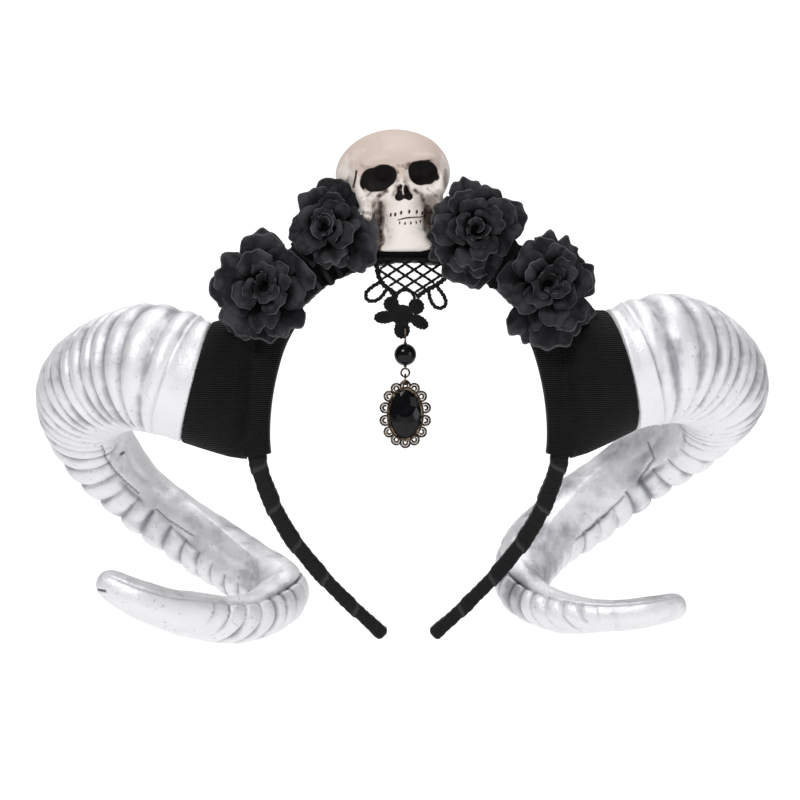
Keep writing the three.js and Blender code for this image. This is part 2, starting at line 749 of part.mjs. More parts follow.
// The net's outline through rows of its edges, drawn in by an inset at the sides and the foot
function netOutline(rows, inset) {
  const foot = LACE_SEAT - LACE_LENGTH + inset;
  const edge = (name, side) => rows.map((row) => new THREE.Vector2(
    row[name] * LACE_HALF_WIDTH - side * inset, Math.max(LACE_SEAT - row.down * LACE_LENGTH, foot)));
  return [...edge("left", -1), ...edge("right", 1).reverse()];
}

function laceDrop() {
  const lacePlate = (outline) => plate(outline, [], laceFace, LACE_CLOTH);
  const slope = Math.atan2(NET_DOWN, NET_ACROSS);
  const halfAcross = NET_ACROSS / 2 - NET_THREAD / 2 / Math.sin(slope);
  const halfDown = NET_DOWN / 2 - NET_THREAD / 2 / Math.cos(slope);
  const cells = [];
  const rows = Math.ceil((2 * LACE_LENGTH) / NET_DOWN);
  const columns = Math.ceil((2 * LACE_HALF_WIDTH) / NET_ACROSS);
  for (let row = 1; row < rows; row += 1) {
    for (let step = -columns; step <= columns; step += 1) {
      const x = DROP_X + (step + (row % 2 ? 0.5 : 0)) * NET_ACROSS;
      cells.push(lacePlate(ovalPath(x, LACE_SEAT - (row * NET_DOWN) / 2, halfAcross, halfDown, 4)));
    }
  }
  const mesh = cells.reduce((sum, cell) => sum.add(cell))
    .intersect(lacePlate(netOutline(LACE_EDGES.slice(1), NET_BORDER)));
  let lace = lacePlate(netOutline(LACE_EDGES, 0)).subtract(mesh);
  const eyeZ = LACE_SEAT - LACE_LENGTH - NET_EYE_RADIUS * 0.4;
  const eye = (radius) => lacePlate(ovalPath(DROP_X, eyeZ, radius, radius, 10));
  lace = lace.add(eye(NET_EYE_RADIUS + NET_BORDER)).subtract(eye(NET_EYE_RADIUS));
  for (const { x, z, tilt } of PICOTS) {
    const oval = (radius) => ovalPath(x * LACE_HALF_WIDTH, LACE_SEAT + z * LACE_LENGTH,
      radius, radius - PICOT_RADIUS * (1 - PICOT_FLAT), 12, tilt);
    const cord = plate(oval(PICOT_RADIUS), [oval(PICOT_RADIUS - NET_BORDER)], laceFace, LACE_CLOTH);
    lace = lace.add(cord);
  }
  for (const { x, z, rx, rz, tilt } of LACE_PETALS) {
    lace = lace.add(lacePlate(ovalPath(flowerX + x * FLOWER_RADIUS, flowerZ + z * FLOWER_RADIUS,
      rx * FLOWER_RADIUS, rz * FLOWER_RADIUS, 8, tilt)));
  }
  const eyelet = new THREE.CylinderGeometry(
    LACE_HOLE_RADIUS, LACE_HOLE_RADIUS, 3 * LACE_CLOTH, LACE_HOLE_SIDES);
  lace = lace.subtract(solid(eyelet.translate(DROP_X, laceFace + LACE_CLOTH / 2, laceHoleZ)));
  return skin(lace);
}

// Drop: the pin's loop hangs on the lower edge of the lace's hole, its eye carries the pendant

const dropY = laceFace + LACE_CLOTH / 2;
const loopStretch = (LOOP_HALF_HEIGHT - WIRE_RADIUS) / LOOP_HALF_DEPTH;
const laceHoleFoot = laceHoleZ - LACE_HOLE_RADIUS * Math.cos(Math.PI / LACE_HOLE_SIDES);
const loopTopZ = laceHoleFoot + WIRE_RADIUS * loopStretch + GAP;
const loopZ = loopTopZ - LOOP_HALF_HEIGHT + WIRE_RADIUS;
const beadZ = loopZ - LOOP_HALF_HEIGHT - BEAD_RADIUS - GAP;
const eyeZ = beadZ - BEAD_RADIUS - EYE_NECK - EYE_RADIUS - WIRE_RADIUS;
const pendantPivotZ = eyeZ - EYE_RADIUS;
const bailZ = pendantPivotZ + 2 * WIRE_RADIUS + GAP - BAIL_RADIUS;
const frameZ = bailZ - BAIL_RADIUS - WIRE_RADIUS - FRAME_HALF_HEIGHT + BAIL_SINK;

function dropPin() {
  const loop = new THREE.TorusGeometry(LOOP_HALF_DEPTH, WIRE_RADIUS, 5, 10).rotateY(Math.PI / 2)
    .scale(1, 1, loopStretch).translate(DROP_X, dropY, loopZ);
  const eye = new THREE.TorusGeometry(EYE_RADIUS, WIRE_RADIUS, 5, 10).rotateX(Math.PI / 2)
    .translate(DROP_X, dropY, eyeZ);
  const shaftTop = loopZ - LOOP_HALF_HEIGHT + WIRE_RADIUS;
  const shaftFoot = eyeZ + EYE_RADIUS;
  const shaft = new THREE.CylinderGeometry(WIRE_RADIUS, WIRE_RADIUS, shaftTop - shaftFoot, 6)
    .rotateX(Math.PI / 2).translate(DROP_X, dropY, (shaftTop + shaftFoot) / 2);
  return skin(solid(loop).add(solid(eye)).add(solid(shaft)));
}

function dropBead() {
  const hole = WIRE_RADIUS + GAP;
  const start = Math.asin(hole / BEAD_RADIUS);
  const points = [];
  for (let k = 0; k <= BEAD_ROWS; k += 1) {
    const angle = THREE.MathUtils.lerp(start, Math.PI - start, k / BEAD_ROWS);
    points.push(new THREE.Vector2(BEAD_RADIUS * Math.sin(angle), -BEAD_RADIUS * Math.cos(angle)));
  }
  points.push(points[0].clone());
  return new THREE.LatheGeometry(points, 2 * BEAD_ROWS).rotateX(Math.PI / 2)
    .translate(DROP_X, dropY, beadZ);
}

function pendantFrame() {
  const face = dropY - FRAME_THICKNESS / 2;
  const outline = [];
  const holes = [];
  const onRim = (turn, halfWidth, halfHeight) => {
    const angle = Math.PI / 2 + (2 * Math.PI * turn) / SCALLOP_COUNT;
    return [DROP_X + halfWidth * Math.cos(angle), frameZ + halfHeight * Math.sin(angle)];
  };
  for (let k = 0; k < SCALLOP_COUNT; k += 1) {
    for (const { offset, share } of SCALLOP_OUTLINE) {
      const place = onRim(k + offset, share * FRAME_HALF_WIDTH, share * FRAME_HALF_HEIGHT);
      outline.push(new THREE.Vector2(...place));
    }
    const [x, z] = onRim(k, FRAME_HALF_WIDTH - SCALLOP_INSET, FRAME_HALF_HEIGHT - SCALLOP_INSET);
    if (k > 0) holes.push(ovalPath(x, z, SCALLOP_HOLE_RADIUS, SCALLOP_HOLE_RADIUS, 6));
  }
  const rim = (inset) => ovalPath(
    DROP_X, frameZ, BEZEL_HALF_WIDTH - inset, BEZEL_HALF_HEIGHT - inset, 18);
  const bezel = plate(
    rim(0), [rim(BEZEL_WALL)], face - BEZEL_RISE, BEZEL_RISE + FRAME_THICKNESS / 2);
  const bail = new THREE.TorusGeometry(BAIL_RADIUS, WIRE_RADIUS, 5, 10).rotateY(Math.PI / 2)
    .translate(DROP_X, dropY, bailZ);
  return skin(plate(outline, holes, face, FRAME_THICKNESS).add(bezel).add(solid(bail)));
}

// An oval cut stone: flat back, girdle, two rows of facets and a table
function pendantStone() {
  const seat = dropY - FRAME_THICKNESS / 2 - GAP;
  const inset = BEZEL_WALL + GAP;
  const rings = STONE_LEVELS.map((level) => {
    const halfWidth = level.size * (BEZEL_HALF_WIDTH - inset);
    const halfHeight = level.size * (BEZEL_HALF_HEIGHT - inset);
    const ring = [];
    for (let k = 0; k < STONE_SIDES; k += 1) {
      const angle = (2 * Math.PI * (k + level.turn)) / STONE_SIDES;
      ring.push(new THREE.Vector3(DROP_X + halfWidth * Math.cos(angle),
        seat - level.rise * STONE_RISE, frameZ + halfHeight * Math.sin(angle)));
    }
    return ring;
  });
  return loft(rings);
}

// Finishes
const ribbonBlack = new THREE.MeshStandardMaterial({ color: 0x121213, roughness: 0.75, metalness: 0 });
const hornSilver = new THREE.MeshStandardMaterial({ color: 0xc9c9cd, roughness: 0.42, metalness: 0.35 });
const grosgrainBlack = new THREE.MeshStandardMaterial({ color: 0x17171a, roughness: 0.62, metalness: 0 });
const trimBlack = new THREE.MeshStandardMaterial({ color: 0x0f0f10, roughness: 0.85, metalness: 0 });
const castIvory = new THREE.MeshStandardMaterial({ color: 0xd8c9ba, roughness: 0.6, metalness: 0 });
const roseBlack = new THREE.MeshStandardMaterial({ color: 0x222225, roughness: 0.9, metalness: 0 });
const laceBlack = new THREE.MeshStandardMaterial({ color: 0x0d0d0d, roughness: 0.8, metalness: 0 });
const bronze = new THREE.MeshStandardMaterial({ color: 0x6e5b41, roughness: 0.45, metalness: 0.9 });
const glossBlack = new THREE.MeshStandardMaterial({ color: 0x050505, roughness: 0.08, metalness: 0 });

const headpiece = new THREE.Group();

function add(name, geometry, material) {
  const mesh = new THREE.Mesh(geometry, material);
  mesh.name = name;
  headpiece.add(mesh);
}

add("headband", headband(), ribbonBlack);
for (const half of SIDES) {
  add(`${half.name}_horn`, horn(half), hornSilver);
  add(`${half.name}_collar`, collar(half), grosgrainBlack);
}
add("trim_strip", trimStrip(), trimBlack);
add("skull", skull(), castIvory);
ROSES.forEach((rose, index) => {
  const half = SIDES[index < ROSES.length / 2 ? 0 : 1];
  const room = index === 0 || index === 3 ? [collarForm(half, -GAP, GAP)] : [skullRoom()];
  for (const [name, geometry] of rosePieces(rose, index, room)) {
    add(`rose_${index + 1}_${name}`, geometry, roseBlack);
  }
});
add("lace_drop", laceDrop(), laceBlack);
add("drop_pin", dropPin(), bronze);
add("drop_bead", dropBead(), glossBlack);
add("pendant_frame", pendantFrame(), bronze);
add("pendant_stone", pendantStone(), glossBlack);

export default headpiece;
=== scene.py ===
import math

import bpy
import numpy as np
from mathutils import Matrix, Vector


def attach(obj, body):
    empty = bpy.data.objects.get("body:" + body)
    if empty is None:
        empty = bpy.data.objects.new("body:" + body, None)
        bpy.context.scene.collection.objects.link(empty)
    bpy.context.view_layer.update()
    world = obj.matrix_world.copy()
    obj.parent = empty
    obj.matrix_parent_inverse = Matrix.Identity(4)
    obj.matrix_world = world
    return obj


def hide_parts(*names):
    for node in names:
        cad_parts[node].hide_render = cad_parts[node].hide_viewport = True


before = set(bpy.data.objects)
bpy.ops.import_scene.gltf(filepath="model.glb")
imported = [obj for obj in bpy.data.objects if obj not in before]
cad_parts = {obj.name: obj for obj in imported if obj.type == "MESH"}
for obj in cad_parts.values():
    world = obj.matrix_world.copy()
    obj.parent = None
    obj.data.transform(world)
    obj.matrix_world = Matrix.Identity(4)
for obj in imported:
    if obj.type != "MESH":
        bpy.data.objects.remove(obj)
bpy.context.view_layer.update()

bl_info = {
    "name": "Ram horns headband",
    "version": (1, 0, 0),
    "blender": (4, 5, 0),
    "location": "View3D > Sidebar > Headband",
    "description": "Makes a ribbon-wound hair band with curled horns, a skull, cloth roses and a lace drop",
    "category": "Object",
}

MM = 0.001

# Band, in millimetres as all the tables below: its half width, drop and section
BAND_HALF_WIDTH = 69.2
BAND_DROP = 175.5
BAND_THICKNESS = 7.2
BAND_DEPTH = 12
BAND_TIP_THICKNESS = 5.2
BAND_TIP_DEPTH = 7.5
BAND_ROUNDING = 0.35
WRAP_STEP = 0.8

# One leg of the band: across as a share of the half width, down as a share of the drop
BAND_LEG = (
    (0, 0), (0.27, 0.012), (0.52, 0.051), (0.73, 0.119), (0.885, 0.211), (0.97, 0.316), (1.01, 0.421),
    (1.01, 0.512), (0.97, 0.586), (0.84, 0.704), (0.665, 0.801), (0.44, 0.898), (0.16, 1),
)

# Collars: length, radius, height of the middle on the band, lean of the rim in degrees
COLLAR_LENGTH = 28.3
COLLAR_RADIUS = 28.5
COLLAR_BAND_HEIGHT = 57.5
COLLAR_LEAN = 14.5
SLEEVE_DISTANCE = 100
CLOTH = 1.5
GAP = 0.3

# Collar sections: out, tall, deep, lean, rise
COLLAR_SECTIONS = np.array((
    (-0.06, 1.15, 0.2, 0, 0),
    (0.12, 1.18, 0.34, 0.1, 0.05),
    (0.36, 1.16, 0.62, 0.35, 0.3),
    (0.68, 1.08, 0.86, 0.7, 0.65),
    (1, 1, 0.98, 1, 1),
))

# Horns: reach, depth, drop and radius, and the axis that they curl round
HORN_REACH = 50
HORN_BACK = 85
HORN_DROP = 110
HORN_RADIUS = 28.5
CURL_AXIS_OUT = 5
CURL_AXIS_BACK = 38
CURL_AXIS_LIFT = 12

# Horn rows from the collar's rim to the tip: out, back, down, size
LEFT_HORN = (
    (0, 0, 0, 1), (0.44, 0.06, -0.06, 1.03), (1.03, 0.41, 0.03, 0.88), (1.05, 0.8, 0.25, 0.69),
    (0.68, 0.96, 0.48, 0.56), (0.12, 0.89, 0.67, 0.54), (-0.37, 0.65, 0.8, 0.53), (-0.75, 0.33, 0.9, 0.45),
    (-0.44, 0.05, 0.99, 0.39), (0.09, -0.14, 0.96, 0.37), (0.49, -0.21, 0.9, 0.32), (0.88, -0.18, 0.81, 0.1),
)
RIGHT_HORN = (
    (0, 0, 0, 1), (0.44, 0.06, -0.05, 1.05), (0.94, 0.41, 0.05, 0.88), (0.84, 0.8, 0.22, 0.68),
    (0.27, 1, 0.43, 0.62), (-0.3, 0.88, 0.62, 0.62), (-0.74, 0.59, 0.77, 0.56), (-0.87, 0.24, 0.93, 0.42),
    (-0.56, 0, 1.01, 0.33), (-0.11, -0.14, 1.02, 0.26), (0.25, -0.19, 1, 0.24), (0.58, -0.16, 0.97, 0.08),
)

# The horns' smooth face turns up from the axis of the curl, in radians; size of the blunt tip
FACE_TURN = math.radians(58)
TIP_SIZE = 0.23

# Each side: sign, height of the collar's rim, turn of the rim in degrees, rows of its horn
SIDES = {
    "left": (-1, 55.2, 0, LEFT_HORN),
    "right": (1, 49.7, 7, RIGHT_HORN),
}

# Slits and dents in the horns' faces, in pixels of the front view: side, rows, half width, depth in
# millimetres, darkness of the painted shade in the slit, points
HORN_SLITS = (
    ("left", 2.2, 4, 1.3, 0.8, 0.8, ((102, 446), (106, 458), (114, 470), (126, 482), (141, 495))),
    ("left", 3, 6, 1.1, 0.7, 0.7, ((156, 509), (170, 521), (193, 536))),
    ("left", 2.2, 4, 2, 1.2, 1, ((121, 454), (123.4, 452.4))),
    ("left", 9, 14, 1.8, 0.8, 1, ((98, 589.6), (105, 591))),
    ("right", 2.2, 5, 1.3, 0.8, 0.7, ((648, 442), (654, 458), (640, 478))),
    ("right", 3, 6.5, 1.1, 0.7, 0.6, ((624, 496), (600, 520), (576, 540))),
)

# Skull: its place and turn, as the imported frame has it
SKULL_PLACE = (
    Matrix.Translation((-3.5, 0, BAND_THICKNESS + GAP)) @ Matrix.Rotation(math.radians(-5), 4, "Y")
    @ Matrix.Rotation(math.radians(11), 4, "Z")
)

# Skull masses before they are melted together, in millimetres: x, y, z and the three radii
SKULL_MASSES = (
    (0, 4.5, 33, 26.6, 27.5, 21), (-1, -9, 33, 22, 16, 15), (-1, -12, 28, 19.6, 12.5, 9.5),
    (-11, -20.4, 37.4, 9, 4.2, 2.6), (8.6, -20.4, 37.8, 8.8, 4.2, 2.6),
    (-1.4, -22.2, 32.5, 3.2, 4.2, 5), (-1.6, -23.6, 26.5, 2.2, 3.4, 5.6), (-0.6, -16.5, 19.4, 8, 9.8, 7.5),
    (-19.2, -14.5, 26, 2.6, 5, 8), (16.6, -15.5, 26, 2.8, 5, 7),
    (-15.5, -17.2, 21.4, 6, 4.4, 2), (13, -18.2, 22.4, 6, 4.4, 1.9),
    (-17.4, -14, 17, 2.6, 4.6, 5.4), (16.4, -14.5, 18.4, 2.2, 4.4, 4.2),
    (-14.2, -11, 8, 2.4, 5, 9), (13.8, -11, 8, 2.4, 5, 9), (-11, -7.5, 10, 7, 7, 11), (11, -7.5, 10, 7, 7, 11),
    (-0.4, -14.8, 13.6, 9.4, 9.8, 5.6), (-0.2, -14.4, 8.2, 9.2, 9.4, 4.6), (0, -13.8, 3, 10.6, 10.2, 3.6),
    (0, -14, -0.6, 12.8, 10.2, 2.6), (0, -14.5, -2.2, 13.6, 9.6, 2), (0, 1.1, 10.8, 10.6, 12.1, 12),
)

# Skull hollows: x, y, z, the three radii, and how black they are inside
SKULL_HOLLOWS = (
    (-13, -25.5, 29.6, 7.4, 11, 6.2, 1), (-10, -25.5, 31, 6.4, 11, 5.4, 1), (-15.4, -23.5, 29.4, 6, 9.5, 6.2, 1),
    (8.2, -25.5, 31, 6.6, 11, 6, 1), (12.2, -24.4, 31, 6.6, 10, 6, 1), (5.6, -26, 32.4, 4.2, 9, 4.4, 1),
    (-3.3, -27, 23.6, 1.5, 5.8, 3.9, 0.9), (0.3, -27, 23.6, 1.5, 5.8, 3.9, 0.9),
    (-3.9, -27, 20.9, 2.4, 5.6, 2.1, 0.9), (0.8, -27, 20.9, 2.2, 5.6, 2.1, 0.9),
    (-11.8, -17, 12.6, 3.4, 7.5, 7.6, 0.3), (11.6, -17, 12.6, 3, 7.5, 6.8, 0.3),
    (-11.4, -20.4, 17.4, 2.4, 5, 2.6, 0.5), (9.8, -20.4, 18, 2.2, 4.6, 2.2, 0.5),
    (-23.2, -10, 27.5, 1.6, 6, 6, 0.1), (21.8, -10, 27.5, 1.6, 6, 6, 0.1),
)

# Marks on the skull, in pixels of the front view: half width, depth in millimetres, stain, points
SKULL_MARKS = (
    (1.3, 0.25, 0.36, ((379.5, 134), (377, 138), (379, 141), (378, 145))),
    (1.1, 0.2, 0.3, ((378, 147), (380, 151))),
    (1.5, 1.1, 1.2, ((356.4, 171), (355.4, 178), (353.4, 187))),
    (1.0, 0.7, 1.1, ((398, 220), (402, 218.8), (408, 217.6), (416, 217.2), (423, 216.6))),
    *((1.6, 0.7, 1.25, ((x, y - 1.4), (x - 0.2, y + 0.4))) for x, y in (
        (390.8, 215.4), (395.4, 215), (401.2, 213.2), (409.5, 212), (417, 212.2), (422.4, 213.4))),
    *((0.8, 0.45, 0.5, ((x, y - 2), (x, y + 2.6))) for x, y in ((401.2, 214.6), (409.5, 213.6), (417, 213.6))),
    *((1.2, 0.5, 1.1, ((x, y - 0.8), (x, y + 1))) for x, y in (
        (399.6, 222.8), (405, 223.4), (411, 223), (416.4, 222.4), (420.4, 221.4))),
    (3.4, 0.5, 0.62, ((393, 168), (397, 172))), (3.4, 0.5, 0.62, ((409, 164), (406, 168))),
    (3, 0.4, 0.5, ((398, 165.5), (403, 166.5), (408, 164.5))),
    (6, 0, 0.5, ((397, 180), (394, 195), (411, 195), (405, 180))),
    (4.6, 0.5, 0.62, ((386, 191), (378, 197), (373, 204))), (5, 0.5, 0.68, ((380, 203), (381, 216), (380, 236))),
    (3.4, 0.4, 0.62, ((414, 190), (421, 194), (425, 205))), (2.4, 0.4, 0.55, ((428, 189), (437, 196))),
    (2, 0.3, 0.55, ((367, 196), (372, 191))), (4, 0.3, 0.5, ((362, 212), (374, 214))),
    (4, 0, 0.36, ((386, 226), (390, 238))), (4, 0, 0.36, ((426, 222), (430, 236))),
)

# Roses: place across and up, size, stand off the trim, yaw, pitch and turn
ROSE_RADIUS = 24
TRIM_FRONT = 10.0
ROSES = (
    (-64.2, -13.3, 1.03, 5, -10, 6, 20),
    (-36.5, 14.5, 0.86, 2, -6, 8, 50),
    (29.6, 13.3, 0.96, 2, 8, 6, 5),
    (62.2, -11.6, 1, 5, 10, 4, 35),
)

# Rings of petals: part, count, foot radius, length, foot height, slope at the foot, cup and curl of the
# rim in degrees, half width in shares of an even spread, first angle, and depth of the pinked edge
PETAL_RINGS = (
    ("outer", 5, 0.1, 1.05, 0.9, 4, 18, 56, 0.96, 0, 0),
    ("outer", 5, 0.09, 0.93, 2.6, 14, 22, 84, 0.92, 33, 0),
    ("middle", 4, 0.1, 0.8, 3.6, 32, 26, 105, 0.95, 10, 0),
    ("inner", 3, 0.15, 0.66, 4.4, 60, 20, 118, 0.95, 45, 0),
    ("inner", 3, 0.11, 0.48, 5, 74, 10, 96, 0.85, 100, 0),
)

# Loose outer petals: rose, direction in the front view in degrees, length, half width, pinked edge
LOOSE_PETALS = (
    (0, 228, 1.08, 0.6, 0), (0, 272, 1.06, 0.6, 0), (0, 178, 1.06, 0.5, 0), (0, 96, 1.14, 0.6, 0),
    (1, -38, 1.18, 0.5, 0), (1, 84, 1.06, 0.55, 0.07), (1, 225, 1.1, 0.5, 0),
    (2, -108, 1.2, 0.55, 0), (2, -78, 1.14, 0.5, 0), (2, 100, 1.1, 0.5, 0), (2, 20, 1.04, 0.5, 0),
    (2, -158, 1, 0.45, 0),
    (3, -118, 1.16, 0.5, 0), (3, -84, 1.22, 0.55, 0), (3, -46, 1.18, 0.5, 0), (3, 74, 1.1, 0.6, 0.07),
    (3, 8, 1.08, 0.5, 0),
)

# Trim strip from the band's middle to its end: along, inner and outer edge as shares
TRIM_HALF_LENGTH = 62
TRIM_WIDTH = 20
TRIM_EDGES = np.array((
    (0, 0.04, 0.13), (0.26, 0.04, 0.13), (0.36, -0.22, 0.16), (0.48, -0.22, 0.85), (0.72, -0.22, 1), (1, -0.1, 0.9),
))

# Lace, all at one depth: side edges of the net, picot loops, and petals of the flower
LACE_Y = -7.7
LACE_TOP = 1.4
LACE_LEFT = ((-14.9, 1.4), (-14.6, -2.2), (-13.4, -7.6), (-11.2, -10.9), (-8, -13.6), (-6.4, -16.6))
LACE_RIGHT = ((15.8, 1.4), (17.4, -3), (16.8, -7.4), (12.4, -11), (7.6, -13.6), (3.6, -16.6))
NET_ACROSS = 8.1
NET_DOWN = 5.3
LACE_EYE = (-1.5, -17.4, 4.2)
PICOT_LEFT = ((-12.6, -9.4), (-16.4, -11.6), (-19.4, -14.6), (-18.9, -17.6), (-15.8, -18.2), (-12.6, -16.4),
              (-9.8, -12.4))
PICOT_RIGHT = ((9.2, -13.2), (9.9, -17.2), (12.2, -20.8), (15, -21.4), (17, -19.6), (16.4, -16.4), (13, -11.6))
LACE_PETALS = (
    (-2.9, -24.7, 4.7, 4.5, 0), (-7.9, -19.6, 3.2, 3.2, -40), (-10.8, -25.6, 4.7, 2.6, 4),
    (4.8, -27.7, 4.5, 2.5, -32), (3.6, -20.6, 3.2, 3.4, 40), (-3, -31.4, 3.7, 3.3, 90),
)

# Drop and pendant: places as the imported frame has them
DROP_X = -1.5
DROP_Y = -7.7
WIRE_RADIUS = 0.45
LOOP_TOP = -30.01
LOOP_HALF_HEIGHT = 3.9
LOOP_HALF_DEPTH = 2.3
BEAD_Z = -42.71
BEAD_RADIUS = 5.05
EYE_Z = -51.01
EYE_RADIUS = 1.9
BAIL_Z = -53.61
FRAME_Z = -69.96
FRAME_HALF_WIDTH = 12
FRAME_HALF_HEIGHT = 15.6
BEZEL_HALF_WIDTH = 7.9
BEZEL_HALF_HEIGHT = 11.9
SCALLOP_COUNT = 14

# Front camera: its place, what it shows at the band in millimetres, and the photograph's width in pixels
CAMERA_X = -3.91
CAMERA_Z = -63.5
CAMERA_DISTANCE = 1500
VIEW_WIDTH = 368
PICTURE_WIDTH = 800


# Shapes in numbers

def smooth(low, high, value):
    share = np.clip((np.asarray(value, float) - low) / (high - low), 0, 1)
    return share * share * (3 - 2 * share)


def mix(a, b, share):
    return a + (b - a) * share


def ripple(place, size, seed=0):
    """A soft random value from -1 to 1 at each place, that changes over about the size given."""
    total = np.zeros(len(place))
    chance = np.random.default_rng(seed)
    for _ in range(7):
        way = chance.normal(size=3)
        way /= np.linalg.norm(way)
        pitch = size * chance.uniform(0.7, 1.5)
        total += np.sin(place @ way * 2 * math.pi / pitch + chance.uniform(0, 2 * math.pi))
    return total / 4


class Line:
    """A smooth line through points, read by the distance along it."""

    def __init__(self, points):
        points = np.array(points, float)
        ends = np.vstack([2 * points[0] - points[1], points, 2 * points[-1] - points[-2]])
        places, rows = [], []
        for j in range(len(points) - 1):
            p0, p1, p2, p3 = ends[j:j + 4]
            d0, d1, d2 = (math.sqrt(np.linalg.norm(b - a)) for a, b in ((p0, p1), (p1, p2), (p2, p3)))
            t1 = ((p1 - p0) / d0 - (p2 - p0) / (d0 + d1) + (p2 - p1) / d1) * d1
            t2 = ((p2 - p1) / d1 - (p3 - p1) / (d1 + d2) + (p3 - p2) / d2) * d1
            share = np.linspace(0, 1, 80, endpoint=j == len(points) - 2)[:, None]
            places.append(p1 + t1 * share + (3 * (p2 - p1) - 2 * t1 - t2) * share ** 2
                          + (2 * (p1 - p2) + t1 + t2) * share ** 3)
            rows.append(j + share[:, 0])
        self.places = np.vstack(places)
        self.rows = np.concatenate(rows)
        steps = np.linalg.norm(np.diff(self.places, axis=0), axis=1)
        self.marks = np.concatenate([[0], np.cumsum(steps)])
        self.length = self.marks[-1]
        slopes = np.gradient(self.places, self.marks, axis=0)
        self.slopes = slopes / np.linalg.norm(slopes, axis=1)[:, None]

    def read(self, values, distance):
        if values.ndim == 1:
            return np.interp(distance, self.marks, values)
        return np.stack([np.interp(distance, self.marks, column) for column in values.T], axis=-1)

    def at(self, distance):
        slopes = self.read(self.slopes, distance)
        return self.read(self.places, distance), slopes / np.linalg.norm(slopes, axis=-1)[..., None]


def band_leg(side):
    return [(side * across * BAND_HALF_WIDTH, 0, BAND_THICKNESS / 2 - down * BAND_DROP)
            for across, down in BAND_LEG]


band_line = Line(band_leg(-1)[::-1] + band_leg(1)[1:])
BAND_HALF = band_line.length / 2


def band_place(distance, outwards, back):
    """Places by the distance from the band's top, moved outwards and back."""
    place, slope = band_line.at(np.clip(BAND_HALF + distance, 0, band_line.length))
    outward = np.stack([-slope[:, 2], 0 * slope[:, 0], slope[:, 0]], axis=-1)
    place = place + outward * np.asarray(outwards)[:, None]
    place[:, 1] += back
    return place


def band_half(distance):
    taper = smooth(0.55, 1, np.abs(distance) / BAND_HALF)
    return mix(BAND_THICKNESS, BAND_TIP_THICKNESS, taper) / 2, mix(BAND_DEPTH, BAND_TIP_DEPTH, taper) / 2


def band_skin(distance, angle, grow):
    """Places on the band's skin, by the distance from its top and the angle round it."""
    thick, deep = band_half(distance)
    across, back = np.cos(angle), np.sin(angle)
    outwards = (thick + grow) * np.sign(across) * np.abs(across) ** BAND_ROUNDING
    backwards = (deep + grow) * np.sign(back) * np.abs(back) ** BAND_ROUNDING
    return band_place(distance, outwards, backwards)


def collar_ring(side, share, angle, inset, shift):
    """Places on the collar's skin, by the share of its length and the angle round it."""
    sign, height, turn, _ = SIDES[side]
    tall, deep, lean, rise = (np.interp(share, COLLAR_SECTIONS[:, 0], COLLAR_SECTIONS[:, k])
                              for k in (1, 2, 3, 4))
    tilt, yaw = np.radians(lean * COLLAR_LEAN), np.radians(lean * turn)
    axis = np.stack([np.cos(yaw) * np.cos(tilt), np.sin(yaw) * np.cos(tilt), np.sin(tilt)], axis=-1)
    back = np.stack([-np.sin(yaw), np.cos(yaw), 0 * yaw], axis=-1)
    down = np.cross(back, axis)
    middle = np.stack([BAND_HALF_WIDTH + share * COLLAR_LENGTH, 0 * share,
                       -mix(COLLAR_BAND_HEIGHT, height, rise)], axis=-1)
    middle = middle + axis * np.asarray(shift)[..., None]
    place = (middle + back * (np.cos(angle) * (deep * COLLAR_RADIUS - inset))[:, None]
             - down * (np.sin(angle) * (tall * COLLAR_RADIUS - inset))[:, None])
    place[:, 0] *= sign
    return place


def picture(place):
    """Where places show in the photograph's frame, in its pixels, with the front camera."""
    near = CAMERA_DISTANCE / (CAMERA_DISTANCE + place[:, 1])
    scale = PICTURE_WIDTH / VIEW_WIDTH
    return np.stack([PICTURE_WIDTH / 2 + (place[:, 0] - CAMERA_X) * scale * near,
                     PICTURE_WIDTH / 2 - (place[:, 2] - CAMERA_Z) * scale * near], axis=-1)


def off_path(spots, path):
    """Distance of each spot from a path of points."""
    path = np.array(path, float)
    gaps = []
    for a, b in zip(path, path[1:]):
        share = np.clip(((spots - a) @ (b - a)) / ((b - a) @ (b - a)), 0, 1)
        gaps.append(np.linalg.norm(spots - (a + share[:, None] * (b - a)), axis=1))
    return np.min(gaps, axis=0)


# Blender meshes

def begin():
    if bpy.context.object and bpy.context.object.mode != "OBJECT":
        bpy.ops.object.mode_set(mode="OBJECT")
    bpy.ops.object.select_all(action="DESELECT")


def take(piece):
    begin()
    piece.select_set(True)
    bpy.context.view_layer.objects.active = piece


def corners(piece):
    places = np.empty(len(piece.data.vertices) * 3)
    piece.data.vertices.foreach_get("co", places)
    return places.reshape(-1, 3) / MM


def move_corners(piece, places):
    piece.data.vertices.foreach_set("co", (np.asarray(places) * MM).ravel())
    piece.data.update()


def paint(piece, name, values):
    """Keeps a value for each corner of the mesh, which its material reads by name."""
    layer = piece.data.attributes.get(name) or piece.data.attributes.new(name, "FLOAT", "POINT")
    layer.data.foreach_set("value", np.asarray(values, np.float32))


def grid(name, along, around):
    """A grid primitive, with each corner's place along and across it, from 0 to 1."""
    begin()
    bpy.ops.mesh.primitive_grid_add(x_subdivisions=along, y_subdivisions=around, size=2, location=(0, 0, 0))
    piece = bpy.context.object
    piece.name = name
    flat = corners(piece) * MM
    return piece, (flat[:, 0] + 1) / 2, (flat[:, 1] + 1) / 2


